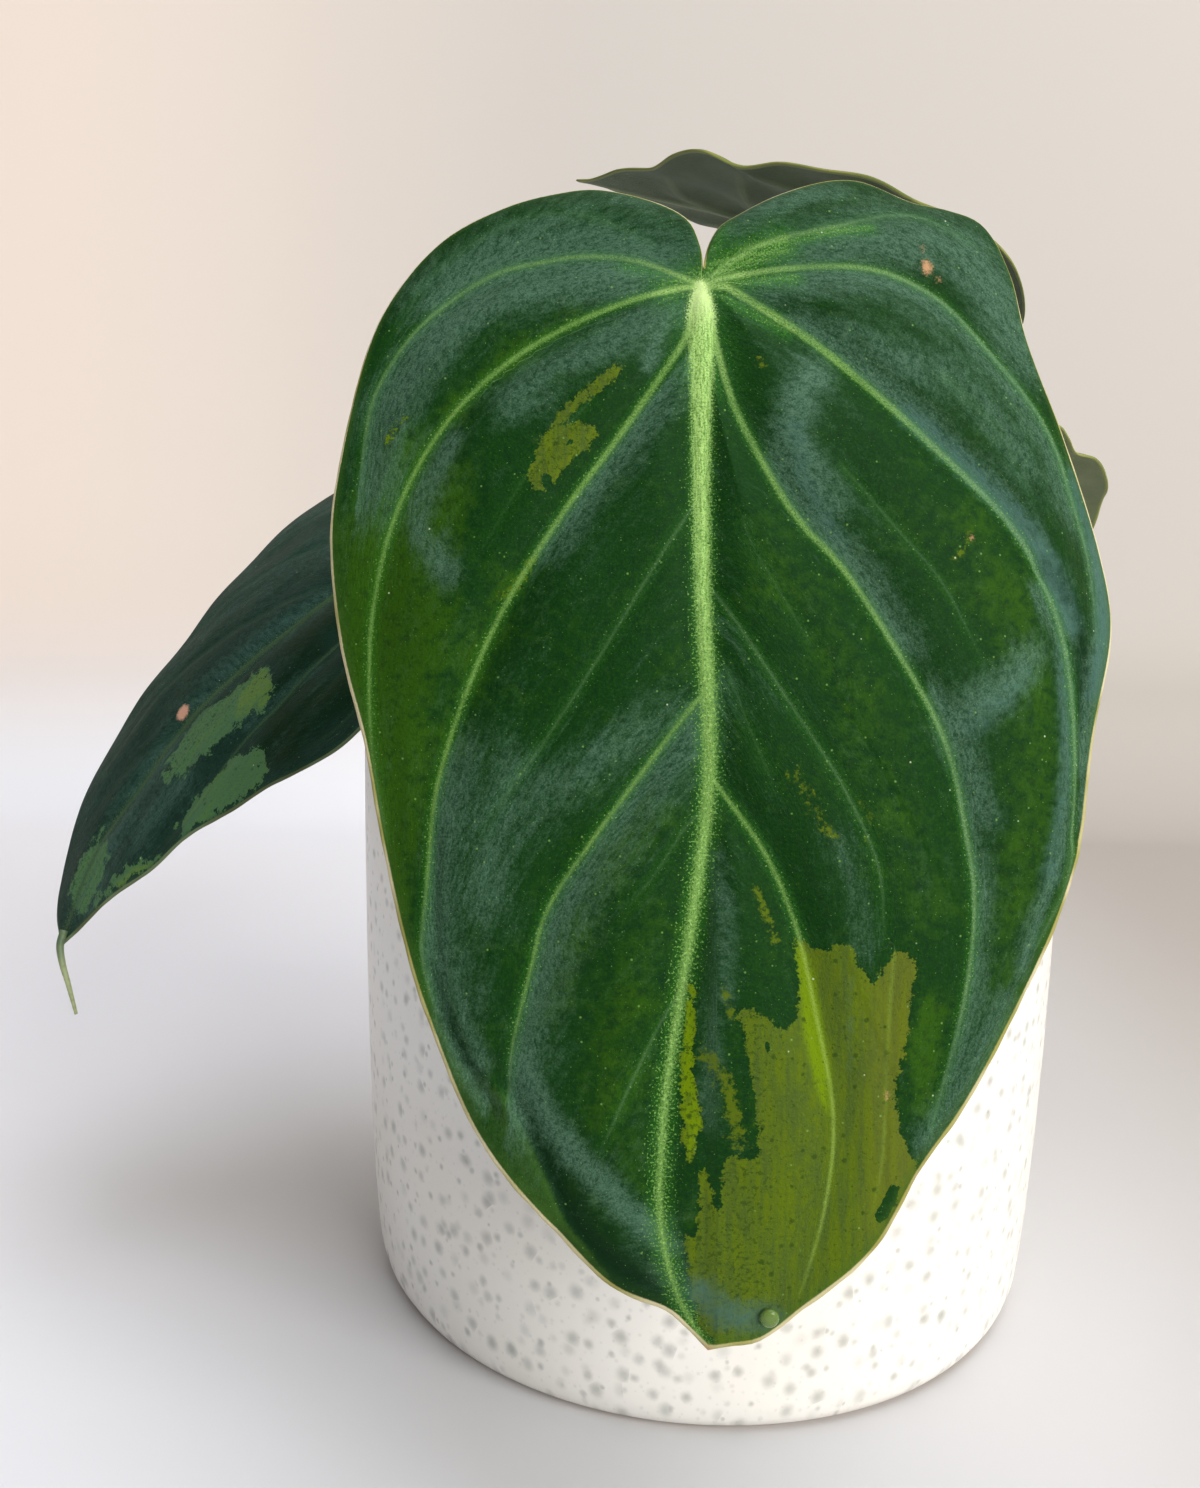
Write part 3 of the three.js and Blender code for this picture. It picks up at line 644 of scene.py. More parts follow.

    # Painted sheen: how far each spot faces the sheen side. The upper face turns this into a painted cool
    # sheen on the slopes.
    tilt = bm.verts.layers.float.new("tilt")
    for vert in bm.verts:
        vert[tilt] = vert.normal.dot(leaf.veil_side)
    drop = {vert: leaf.upper * vert[depth] for vert in bm.verts}
    lower = bmesh.ops.duplicate(bm, geom=bm.verts[:] + bm.edges[:] + bm.faces[:])
    for vert in list(drop):
        lower["vert_map"][vert].co -= drop[vert]
    lower_faces = [item for item in lower["geom"] if isinstance(item, bmesh.types.BMFace)]
    bmesh.ops.reverse_faces(bm, faces=lower_faces)
    for face in lower_faces:
        face.material_index = 1
    open_edges = [edge for edge in bm.edges if edge.is_boundary]
    bmesh.ops.bridge_loops(bm, edges=open_edges)
    bm.normal_update()
    return bm


def velvet(name, **tones):
    """The upper face: deep green pile with pale granular veins, painted sheen in cool bands on the
    slopes beside them and as a grey-green mist, painted shade in the folds, a painted highlight on
    the flap by the tip, ragged pale patches and a thin yellow margin."""
    face = Finish(name, Roughness=0.55, Sheen_Weight=0.015, Sheen_Roughness=0.5,
                  Sheen_Tint=colour(tones["veil"]), IOR=1.4, Specular_IOR_Level=0.07)
    flat = face.painted("flat", "Vector")
    comb = face.painted("comb", "Vector")
    grain = face.noise(flat, 3.2, 3, 0.65)
    mottle = face.noise(flat, 0.75, 4, 0.65)
    cloud = face.noise(flat, 0.16, 3, 0.6)
    fibre = face.noise(flat, 4.4, 2, 0.75)
    pile = face.noise(face.stretched(comb, 3.6, 1.3, 1), 1, 3, 0.7)
    drift = face.noise(face.stretched(comb, 0.4, 0.07, 1), 1, 4, 0.62)
    streaks = face.noise(face.stretched(comb, 1.5, 0.2, 1), 1, 3, 0.65)
    across = face.axes(flat)[0]

    lush = face.total(face.painted("lush"), face.sway(cloud, 1.6), face.sway(mottle, 1.4))
    ground = face.wash(tones["deep"], tones["green"], lush, 0.0, 1.05)
    ground = face.wash(ground, tones["dark"], mottle, 0.5, 0.34, 0.35)
    ground = face.wash(ground, tones["dark"], grain, 0.5, 0.28, 0.45)
    ground = face.wash(ground, tones["green"], grain, 0.5, 0.75, 0.4)
    # Painted shade: the creases of the folds are darkened.
    ground = face.mix(face.product(face.painted("fold"), 0.85), ground, tones["dark"])
    # Painted highlight: the flap by the pinch at the tip is painted a lighter green, where it turns towards
    # the light.
    flap = face.total(face.painted("flap"), face.sway(grain, 1.2), face.sway(mottle, 0.8))
    ground = face.wash(ground, tones["edge_green"], flap, 0.1, 1.0, 0.45)
    # Painted sheen: a cool grey-green laid over the slopes that face the sheen side and along the sheen
    # strokes, in place of light that the pile reflects.
    slope = face.product(face.painted("tilt"), tones["tilt_share"])
    veil = face.total(face.painted("veil"), slope, face.sway(drift, 0.75), face.sway(pile, 0.6),
                      face.sway(mottle, 0.6), face.sway(streaks, 1.1), face.sway(fibre, 0.7))
    veil_tone = face.wash(tones["veil_deep"], tones["veil"], face.total(pile, fibre), 0.8, 1.2)
    ground = face.wash(ground, veil_tone, veil, 0.02, 1.3, 0.9)
    ground = face.wash(ground, tones["dark"], pile, 0.47, 0.32, 0.35)

    island = face.product(face.painted("isle"), -4)
    torn = face.sway(face.noise(flat, 0.4, 4, 0.7), tones["ragged"])
    patch = face.total(face.painted("patch"), island, torn, face.sway(mottle, 2.0), face.sway(grain, 1.0))
    patch = face.fade(patch, -0.06, 0.1)
    streak = face.noise(face.stretched(flat, 0.9, 0.1, 1), 1, 3, 0.6)
    fleck = face.noise(flat, 1.9, 3, 0.7)
    pale = face.wash(tones["patch_dull"], tones["patch"], streak, 0.3, 0.66)
    pale = face.wash(pale, tones["patch_bright"], face.painted("lime"), -0.6, 0.5)
    pale = face.wash(pale, tones["patch_dull"], face.total(mottle, cloud), 0.98, 0.7, 0.7)
    pale = face.wash(pale, tones["patch_bright"], grain, 0.5, 0.72, 0.3)
    pale = face.wash(pale, tones["patch_warm"], across, 14, 18.5, 0.3)
    freckled = face.total(fleck, face.fade(across, 9, 3.5, 0, 0.07))
    pale = face.wash(pale, tones["fleck"], freckled, 0.6, 0.66, 0.65)
    pale = face.wash(pale, tones["fleck"], pile, 0.46, 0.3, 0.25)
    off_pore, pore_lots = face.cells(flat, 0.95)
    pore = face.math("DIVIDE", face.total(off_pore, face.sway(grain, 0.2)),
                     face.fade(pore_lots[0], 0.45, 1, 0.001, 0.3))
    pale = face.wash(pale, tones["fleck"], pore, 1.3, 0.5, 0.8)
    ground = face.mix(face.product(patch, tones["patch_share"]), ground, pale)
    # Painted sheen: a soft grey-green mist laid where the strokes run, at the tip and by the right margin.
    bloom = face.total(face.painted("bloom"), face.sway(mottle, 0.8))
    ground = face.wash(ground, tones["bloom"], bloom, 0.25, 0.95, 0.75)
    stain = face.total(face.painted("stain"), face.sway(mottle, 1.2), face.sway(fleck, 1.2))
    ground = face.wash(ground, tones["patch"], stain, 0.36, 0.66, 0.85)

    rib_far = face.painted("rib_far")
    vein_far = face.painted("vein_far")
    glow = face.painted("glow")
    flush = face.painted("flush")
    halo = face.math("MAXIMUM", face.fade(rib_far, 2.0, 0.5, 0, 0.5),
                     face.product(face.fade(vein_far, 1.3, 0.1, 0, 0.55), glow))
    halo = face.product(face.math("MAXIMUM", halo, flush), face.fade(grain, 0.32, 0.66, 0.2, 1.2),
                        face.fade(patch, 0, 1, 1, 0.15))
    ground = face.mix(halo, ground, tones["halo"])
    strewn = face.fade(face.total(fibre, face.sway(streaks, 0.5)), 0.42, 0.6)
    lit = face.product(face.fade(flush, 0.45, 1.05), strewn)
    ground = face.mix(face.product(lit, 0.7), ground, tones["vein"])
    by_vein = face.product(face.fade(vein_far, 1.3, 0.2), glow, 0.8)
    near = face.math("MAXIMUM", face.fade(rib_far, 2.8, 0.5), by_vein)
    near = face.math("MAXIMUM", near, flush)
    beads = face.noise(flat, 4.2, 1, 0.5)
    beads = face.total(beads, face.product(near, 0.16), face.product(patch, -0.1))
    ground = face.wash(ground, tones["dust"], beads, 0.715, 0.79, 0.7)
    off_dot, dot_lots = face.cells(flat, 0.62)
    dot = face.product(face.fade(off_dot, 0.1, 0.04), face.fade(dot_lots[2], 0.4, 0.6), 0.6)
    ground = face.mix(dot, ground, tones["dust"])
    off_mote, mote_lots = face.cells(flat, 0.32)
    mote = face.product(face.fade(off_mote, 0.045, 0.02), face.fade(mote_lots[1], 0.55, 0.62), 0.8)
    ground = face.mix(mote, ground, "#b9c9a2")

    thread = face.total(face.math("ABSOLUTE", face.painted("vein")),
                        face.product(face.painted("vein_half"), -1), face.sway(fibre, 1.25))
    vein = face.product(face.fade(thread, 0.22, -0.16), face.fade(vein_far, 1.6, 0.9),
                        face.fade(glow, 0.02, 0.8), face.fade(fibre, 0.36, 0.62, 0.3, 1),
                        face.fade(cloud, 0.3, 0.6, 0.65, 1))
    vein_tone = face.wash(tones["vein_faint"], tones["vein"], glow, 0.45, 0.85)
    vein_tone = face.wash(vein_tone, tones["vein_light"], flush, 0.1, 0.8, 0.6)
    vein_tone = face.wash(vein_tone, tones["vein_grey"], across, 14, 34, 0.75)
    vein_tone = face.mix(patch, vein_tone, tones["patch_vein"])
    ground = face.mix(face.product(vein, face.fade(across, 16, 38, 1, 0.75)), ground, vein_tone)
    rim_of_rib = face.total(face.math("ABSOLUTE", face.painted("rib")),
                            face.product(face.painted("rib_half"), -1), face.sway(fibre, 2.6))
    rib = face.product(face.fade(rim_of_rib, 0.5, -0.3), face.fade(rib_far, 3.4, 2.4))
    strands = face.noise(face.stretched(flat, 4.5, 0.5, 1), 1, 3, 0.6)
    down = face.fade(face.painted("rib_share"), 0.1, 0.5, 0, 0.85)
    rib_tone = face.wash(tones["vein"], tones["vein_light"], strands, 0.34, 0.58)
    rib_tone = face.mix(down, rib_tone, tones["vein"])
    rib_tone = face.wash(rib_tone, tones["halo"], fibre, 0.54, 0.36, 0.7)
    rib_tone = face.wash(rib_tone, tones["vein_light"], grain, 0.52, 0.62, 0.6)
    rib_tone = face.wash(rib_tone, tones["crown"], face.painted("rib_share"), 0.06, 0.0, 0.75)
    ground = face.mix(rib, ground, rib_tone)

    rim = face.math("DIVIDE", face.total(face.painted("edge"), face.sway(grain, 0.12)), face.painted("rim"))
    by_rim = face.product(face.fade(face.total(rim, face.sway(fibre, 4)), 5, 1.0, 0, 0.45),
                          face.fade(face.painted("fold"), 0.2, 0.7, 1, 0.3))
    ground = face.mix(by_rim, ground, tones["edge_green"])
    along_rim = face.noise(flat, 0.09, 2)
    edge_tone = face.wash(tones["edge"], tones["edge_brown"], along_rim, 0.4, 0.62)
    ground = face.wash(ground, edge_tone, rim, 1.3, 0.8)
    scar = face.total(face.painted("scar"), face.sway(grain, 1.2))
    ground = face.wash(ground, tones["scar"], scar, -0.3, 0.4, 0.9)
    face.cover("Base Color", ground)
    face.cover("Roughness", face.fade(face.math("MAXIMUM", rib, vein), 0, 1, 0.55, 0.42))
    face.bump(face.total(pile, face.product(grain, 0.6)), 0.0003, 0.45)
    return face


def dull_back(name, ground_tone, pale_tone, vein_tone, edge_tone):
    """The lower face: matt and greyish, its raised veins paler."""
    face = Finish(name, Roughness=0.62)
    flat = face.painted("flat", "Vector")
    cloud = face.noise(flat, 0.14, 3, 0.6)
    grain = face.noise(flat, 3.0, 3, 0.65)
    mesh_veins = face.noise(flat, 0.9, 4, 0.7)
    tone = face.wash(ground_tone, pale_tone, cloud, 0.35, 0.68)
    tone = face.wash(tone, pale_tone, grain, 0.4, 0.75, 0.3)
    veins = face.product(face.fade(face.painted("vein_far"), 1.1, 0.25), face.painted("glow"))
    veins = face.math("MAXIMUM", veins, face.fade(face.painted("rib_far"), 1.6, 0.6))
    tone = face.mix(face.product(veins, 0.75), tone, vein_tone)
    tone = face.wash(tone, edge_tone, face.painted("edge"), 0.7, 0.25)
    face.cover("Base Color", tone)
    face.bump(face.total(grain, mesh_veins), 0.0003, 0.5)
    return face


# Front leaf: the largest, hanging nearly upright before the pot. Half of its tip is olive-lime,
# a second patch lies high on the left, and a water drop has gathered by the margin near the tip.
# The middle stretches of the main veins, which the sheen beside them follows, and of the pinch.
LOBE_VEIN_LEFT = [(-6.5, -3), (-13, -4), (-18.5, -3.5), (-23, -2.5), (-31, 3), (-36, 10.5), (-37, 15)]
LOWER_VEIN_LEFT = [(-6.5, 53), (-12, 60.5), (-16.5, 67.5), (-18, 73), (-20, 81.5)]
LOBE_VEIN_RIGHT = [(20.5, -2.5), (27, 0.5), (33.5, 7.5), (39, 15), (42, 23)]
UPPER_VEIN_RIGHT = [(16.5, 10.5), (24, 17.5), (32, 25), (35.5, 30)]
LONG_VEIN_RIGHT = [(24.5, 50), (27, 61), (27.5, 66.5), (26.5, 75.5)]
TIP_PINCH = [(-20.5, 86.5), (-18.4, 90.5), (-16.2, 95.5), (-14.4, 99.5), (-11.8, 102.7)]

front_leaf = Leaf(
    base=(-7.4, -58, 142.7), tip=(-5.3, -82, 32.8), upper=(0, -1, 0.1),
    bow=6, side_droop=0.0045, roll_start=34, right_roll=0.02, quilting=1.3, wave=0.35,
    # The side that the painted sheen favours: slopes facing it are painted with sheen.
    veil_side=Vector((-0.82, -0.1, 0.55)),
    left=[(0.3, -2), (0.15, -4), (-0.25, -5.6), (-1.2, -8), (-4.5, -10.5), (-11.5, -13), (-16.5, -12.5),
          (-22, -11), (-29.5, -7.5), (-35, -0.5), (-38.5, 10), (-40.5, 22), (-40.5, 29.5), (-39, 40),
          (-36, 50), (-34, 60.5), (-31.5, 70.5), (-29, 78.5), (-24, 90), (-16.5, 99.5), (-10, 106),
          (-4, 108.5), (-2, 110.5), (0, 112.4)],
    right=[(0.3, -2), (0.6, -4), (1.1, -5.6), (2.3, -7.7), (4.2, -9.1), (9.5, -12), (18, -14.5),
           (25, -12.5), (29, -12), (33, -10.5), (36, -4.5), (37.7, 4), (41.5, 16), (46, 27.5),
           (47, 35.5), (43.5, 48), (41, 59), (37.5, 68.5), (35, 73.5), (30.5, 81), (26, 88.5), (22, 94),
           (17, 102), (10, 108), (5.5, 111.5), (2.5, 112), (0, 112.4)],
    rib=[(0, 0), (-0.5, 31.5), (0, 53.5), (-0.5, 59), (-1.5, 66), (-3, 76), (-4.5, 86), (-5, 94),
         (-5, 98.5), (-3, 107), (0, 112.2)],
    rib_widths=[(0, 0.5), (0.012, 0.9), (0.03, 1.4), (0.06, 1.35), (0.09, 1.1), (0.13, 0.9), (0.2, 0.74),
                (0.35, 0.6), (0.5, 0.48), (0.65, 0.32), (0.85, 0.16), (1, 0.06)],
    rim=[(-14, 0.12), (5, 0.17), (22, 0.27), (40, 0.34), (95, 0.4), (112, 0.42)],
    veins=[
        ([(0, 0), *LOBE_VEIN_LEFT, (-37.5, 24)], 0.28, 0.12, 0.62),
        ([(0, 0), (-3, 0.5), (-8, 2), (-18, 6.5), (-25, 12), (-30, 18.5), (-33.5, 26.5), (-35.5, 36.5),
          (-35.5, 45), (-35, 51.5), (-33.5, 60)], 0.32, 0.12, 0.85),
        ([(-0.8, 2), (-1.2, 4.6), (-2, 6.9), (-3.6, 9.6), (-8.5, 17), (-14.5, 25.5), (-21.5, 37),
          (-25.5, 46.5), (-28, 55), (-29, 65.5), (-29.5, 72), (-28.5, 76.5)], 0.34, 0.13, 0.88),
        ([(-1, 25), (-5, 31.5), (-11, 41.5), (-16.5, 50), (-21, 56.5), (-22.5, 59.5)], 0.12, 0.09, 0.36),
        ([(0, 45), (-1.5, 46.5), *LOWER_VEIN_LEFT, (-20.4, 86.5)], 0.24, 0.08, 0.78),
        ([(-1, 57.5), (-2.5, 59), (-5.5, 63.5), (-8, 66.5)], 0.1, 0.08, 0.3),
        ([(-3.5, 76), (-5, 78.5), (-7.5, 83.5), (-11, 91.5)], 0.12, 0.09, 0.4),
        ([(0, 0), (3.5, -3), (7, -5), (15, -7.5), (24.5, -10), (31.5, -7)], 0.3, 0.12, 0.4),
        ([(0, 0), (1, -0.5), (11, -2.5), *LOBE_VEIN_RIGHT, (43.5, 28), (44, 38)], 0.34, 0.13, 0.7),
        ([(0, 0), (1, -0.5), (9, 4.5), *UPPER_VEIN_RIGHT, (39.5, 40.5), (40, 53), (38.5, 64.5),
          (35, 71)], 0.46, 0.16, 0.86),
        ([(0.8, 2), (1.2, 6), (2, 10), (3, 14), (5.2, 19), (9.5, 27), (14, 32), (19.5, 40.5),
          *LONG_VEIN_RIGHT, (23.5, 87.5), (23, 89.5)], 0.36, 0.15, 0.76),
        ([(0, 34), (1.5, 36), (7.5, 45.5), (13.5, 55), (17, 63), (17.5, 70)], 0.13, 0.1, 0.42),
        ([(0, 53.5), (1, 55), (5.5, 61.5), (8.5, 68.5), (10.5, 77), (12.5, 88.5), (11.5, 98.5),
          (9.5, 106)], 0.2, 0.14, 0.8),
        ([(18.5, 72), (18, 79.5), (17.5, 93), (16.5, 98.5)], 0.2, 0.14, 0.3),
        ([(14.5, 21.5), (19.5, 27.5), (24.5, 33.5), (29, 42)], 0.1, 0.08, 0.3),
        ([(26.5, 10.5), (32.5, 16.5), (36, 23)], 0.1, 0.08, 0.2),
        ([(-9, 5), (-16, 7.5), (-23, 12)], 0.1, 0.08, 0.16),
        ([(-5, -5), (-13, -9), (-20, -9), (-30, -3), (-35, 6)], 0.12, 0.1, 0.2),
        ([(-12, 14), (-18, 21), (-24, 31)], 0.09, 0.08, 0.2),
        ([(3.8, 27.5), (4.6, 30), (7, 34.5), (11, 41.5)], 0.1, 0.08, 0.24),
        ([(1.5, 42), (4, 49), (6.5, 55)], 0.09, 0.08, 0.25),
    ],
    # Painted sheen: pale cool bands on the slopes beside the veins, where the pile reflects the light.
    veil=[
        ([(-4, -2), *LOBE_VEIN_LEFT[:4], (-27, 0)], 5.5, 1.15, 1),
        ([(-7.5, -1), (-16.5, -0.5), (-21.5, 0.5), (-25.5, 2.5), (-29.5, 6), (-32, 9), (-34.5, 12.5)],
          3.4, 1.05),
        ([(-1, -4), (-3, -6.5), (-6.5, -9.5), (-9, -11)], 2, 0.5),
        ([(-3, -1.5), *LOBE_VEIN_LEFT, (-37.5, 22)], 5.2, 1.0, -1),
        ([(-1.5, 2.5), (-6, 5), (-11.5, 8), (-16, 10.5), (-20, 13.5)], 3.0, 0.8),
        ([(-27, 17.5), (-28.4, 20.5), (-30.3, 24), (-30.6, 27), (-28.6, 30.2), (-26.8, 32.5)], 1.7, 0.85),
        ([(-2.5, 9.5), (-8.5, 17), (-14.5, 25.5), (-17, 29)], 3.1, 1.0, -1),
        ([(-3.3, 3.5), (-4.8, 6.5), (-5.8, 9.5)], 1.2, 0.95),
        ([(-27.4, 53), (-28, 55), (-29, 65.5), (-29.5, 72), (-28.5, 76.5)], 5.4, 0.85, -1),
        ([(-20, 53), (-21.5, 60), (-23, 67)], 3.4, 0.7),
        ([(-2.5, 47.5), (-7.5, 50), (-13, 53.5), (-18, 57), (-21, 61), (-23.5, 66.5)], 3.0, 0.62),
        ([(-1.5, 46.5), *LOWER_VEIN_LEFT, (-20.5, 88)], 4.3, 0.92, -1),
        ([(-18.5, 83), (-16.3, 88.5), (-13, 92.6), (-10, 95.6), (-7, 98.6), (-4.5, 101)], 1.7, 1.15),
        ([(-7.5, 101.5), (-4.5, 104), (-2.5, 107)], 1.6, 0.55),
        ([(-27.5, 68), (-26.5, 73), (-25, 78), (-23, 83)], 1.3, 0.8),
        ([(-27.5, 79), (-25, 84), (-22.5, 87)], 1.4, 0.8),
        ([(3.5, -6.5), (6.5, -8.5), (11, -11), (15.5, -12)], 2.2, 0.65),
        ([(10, -3.4), (15.5, -4.6), (22.5, -4.6), (28, -2.5), (33, 1.5), (35, 5)], 4.4, 0.9, -1),
        ([(6.5, -1), (13, -2.5), *LOBE_VEIN_RIGHT], 4.6, 0.9, 1),
        ([(11.5, -4), (15, -5.4), (20.5, -6.6), (26, -7), (31, -5.5), (34.5, -0.5), (37, 6)], 4.4, 0.95),
        ([(13.5, 6), (18, 7), (23, 9), (26.5, 10), (30, 12.5), (33, 16), (35.5, 20)], 3.2, 0.75),
        ([(10.5, 5.7), *UPPER_VEIN_RIGHT, (38.5, 37)], 3.2, 1.1, -1),
        ([(12, 10.5), (10, 13.5), (9, 17.5), (10, 21.5), (12.5, 26)], 2.6, 1.0),
        ([(7, 22.5), (9.5, 27), (14, 32), (17.5, 37.5), (19, 40)], 3.2, 1.05, -1),
        ([(39, 17.5), (41.5, 21), (43.5, 26.5), (45, 33), (44, 44), (43, 51.5), (41.5, 58)], 1.8, 0.9),
        ([(34.5, 41), (32, 43.5), (28.5, 46), (25.5, 48.5)], 2.5, 0.95),
        ([(26, 50), (27.5, 54), (28.5, 58)], 2.2, 0.8),
        ([(23, 46), *LONG_VEIN_RIGHT, (24.5, 84)], 2.4, 0.9, -1),
        ([(36, 33.5), (39, 40), (39.2, 47.5), (38.7, 55), (37.5, 61.5), (35.5, 66.5), (33, 74)], 1.4, 0.9),
        ([(31, 77), (28, 83), (25, 87.5), (22.5, 91)], 2.2, 0.95),
        ([(1, 62), (1.5, 72), (0, 82), (-0.5, 88)], 1.5, 0.55),
        ([(-1.5, 105), (1.5, 107.5), (4.5, 109.5)], 2.6, 0.8),
        ([(45.2, 27), (45.6, 36), (43.8, 44), (42, 52)], 2.2, 1.25),
        ([(1.3, 38), (3.5, 42), (7, 47)], 0.8, 0.3),
        ([(13, 60), (15, 66), (16, 71)], 1.6, 0.45),
    ],
    isle=[
        ([(18.7, 95.8), (18.2, 97), (17.4, 98.4)], 0.75, 1),
        ([(-16.8, 22.3), (-16.6, 22.7)], 0.4, 1),
        ([(5.5, 80.5), (6.2, 82)], 0.35, 0.7),
        ([(9.2, 85), (9.6, 86.5)], 0.35, 0.7),
        ([(-14, 18.4), (-14.6, 18.8)], 0.3, 0.6),
    ],
    lush=[
        ([(-33, 18), (-36.5, 28), (-37.5, 38), (-37, 50), (-33.5, 66)], 3.4, 1.15),
        ([(-30, 25), (-34, 33), (-35, 45), (-33, 58)], 5.0, 1.3),
        ([(-14, 4), (-22, 9), (-29, 16.5), (-33, 26)], 1.8, 0.7),
        ([(-29, 36), (-31.5, 46), (-31.5, 60)], 4.0, 1.0),
        ([(-21, 34), (-24.5, 42), (-26.5, 50)], 2.6, 0.6),
        ([(-6, 57), (-13, 68), (-16.5, 78)], 2.4, 0.6),
        ([(-5, 70), (-10, 84), (-9, 92)], 4.6, 0.42),
        ([(6, 30), (12, 42), (17, 52), (22, 66)], 3.6, 0.4),
        ([(28, 27), (33, 38), (35, 50), (33, 62), (30, 74)], 3.6, 0.55),
        ([(22.5, 77), (22, 83), (22, 88)], 1.7, 1.0),
    ],
    # Folds sink the blade along their paths, and the upper face darkens them as painted shade in the
    # creases.
    fold=[
        ([*TIP_PINCH, (-8, 105.3), (-4.5, 107.3)], 2.3, 1.15, -1),
        ([(-15, 101.5), (-10.5, 104.6), (-5.5, 107.4), (-2, 110)], 2.6, 0.95),
        ([(-28.4, 74), (-27.2, 78), (-25, 83), (-21.8, 88)], 0.8, 0.8),
        ([(36.5, 31), (40.8, 36), (42, 42), (41.8, 48), (41, 55), (39.5, 60)], 0.9, 0.95),
        ([(-28, 60), (-28, 68), (-27.4, 76)], 0.6, 0.35),
        ([(29, 14), (33, 18.5), (36.5, 23)], 0.6, 0.3),
    ],
    # Painted sheen: soft grey-green mist at the tip and along the right margin.
    bloom=[
        ([(-1, 106), (2, 108.5), (6, 109)], 2.6, 0.75),
        ([(14, 74), (14, 83)], 0.9, 0.4),
        ([(34, 42.5), (31, 45.5), (27.5, 48.5)], 2.6, 0.5),
        ([(22, 14.8), (30, 21.8), (37, 29.5), (40.5, 37)], 2.0, 0.75),
        ([(39, 40), (38.5, 52), (36, 64)], 1.8, 0.55),
        ([(9.5, 17), (10.5, 23), (14, 30)], 1.8, 0.5),
        ([(42.5, 20), (45.2, 28), (45.4, 36), (43.8, 44)], 2.0, 0.8),
    ],
    # Painted highlight: the flap between the pinch and the margin near the tip.
    flap=[([(-25, 83.5), *TIP_PINCH], 3.4, 1.1, 1)],
    stain=[
        ([(-0.5, 81.5), (1.2, 84), (2.4, 88), (3, 90.5)], 1.2, 0.62),
        ([(4.5, 65), (5.5, 67.5), (6.5, 70)], 0.7, 0.6),
        ([(1.3, 75), (2.2, 77.5)], 0.7, 0.6),
        ([(8.5, 53.5), (9.5, 55), (11, 58), (12.5, 60)], 1.2, 0.45),
        ([(15, 56), (16, 58), (15.5, 60.5)], 0.8, 0.42),
        ([(-21, 35), (-19.5, 33.5), (-18, 31)], 0.9, 0.6),
        ([(5.8, 9), (6.2, 10)], 0.6, 0.6),
        ([(14, 3.2), (15.5, 3.5)], 0.6, 0.5),
        ([(28, 28), (27, 30), (26, 31)], 0.5, 0.55),
    ],
    flush=[
        ([(1.5, -1.5), (5, -3.4), (9, -5)], 2.0, 0.95),
        ([(9, -5), (14, -6.6), (19, -7.6)], 0.9, 0.75),
        ([(1.5, -4), (2.2, -7.5)], 1.4, 0.6),
        ([(0, 0), (10, -1)], 1.3, 0.75),
        ([(0, -0.5), (-8, -2.5)], 1.3, 0.55),
        ([(0.5, 0.5), (9, 5.5)], 1.2, 0.65),
        ([(0, -0.5), (0, 2)], 1.7, 1.15),
        ([(-3.5, 0.5), (0, -1), (4, -0.8)], 2.4, 0.8),
        ([(-1, 3), (-1.5, 10)], 2.4, 0.4),
        ([(1, 4), (1.5, 12)], 2.2, 0.45),
    ],
    patches={
        "patch": [
            [(8.1, 69.8), (9.4, 70.3), (11.4, 71.4), (12.2, 71.4), (12.6, 70.4), (13.7, 70.6),
             (14.6, 72.5), (15.9, 73.8), (16.6, 75), (17.1, 73.5), (18.2, 72.1), (18.9, 71.2),
             (20, 71.7), (20.7, 72.5), (20.5, 76), (20.3, 78), (19.8, 81), (19, 84.5), (18.9, 86.4),
             (19.3, 89.6), (20.7, 92.2), (22, 94), (17, 103), (10, 109), (5.5, 113), (2.5, 113),
             (-1, 110), (-2.3, 103.3), (-2.6, 99.5), (-1.6, 100.4), (-1.1, 98), (-1.1, 93.6),
             (-0.4, 93.2), (0, 95.5), (0.6, 97.7), (1.2, 96.8), (1.2, 92.4), (2.2, 91.4), (4, 92.1),
             (4.7, 91.4), (4.7, 89.2), (4.2, 84.1), (3.4, 80.4), (2.6, 77), (3.4, 76.5), (4.3, 76.8),
             (4.6, 77.8), (5.6, 77.7), (6.4, 79), (7.6, 78.9), (8.8, 77.9), (8.8, 73.6)],
            [(-2.2, 74), (-1.5, 74.5), (-1.7, 80), (-1.8, 82.9), (-1.4, 85.4), (-0.7, 88.5), (-1.3, 90),
             (-1.6, 91.7), (-2.2, 92.4), (-2.7, 91), (-3.2, 84), (-2.6, 79)],
            [(-8.6, 10.2), (-9.4, 10), (-11.2, 11.4), (-13.3, 13.2), (-15.4, 15.2), (-15.9, 16.6),
             (-14.6, 16.2), (-14.2, 15.2), (-13, 14.4), (-11.4, 13.2), (-9.6, 12), (-8.8, 11)],
            [(-15.2, 16.6), (-16.9, 17.4), (-17.7, 19.4), (-18.6, 21.6), (-18.3, 23.8), (-16.6, 23.8),
             (-15.3, 22.3), (-13.9, 20.4), (-12.4, 19.2), (-11.2, 17.8), (-11.4, 16.6), (-13.4, 16.4)],
            [(-34.5, 17.2), (-34.6, 16.3), (-34.1, 15.2), (-33.4, 15), (-33.1, 15.4), (-33.8, 15.8),
             (-34.1, 17)],
            [(-32.7, 14.5), (-32.3, 13.8), (-31.7, 13.9), (-31.8, 14.3), (-32.2, 14.8)],
        ],
        "lime": [
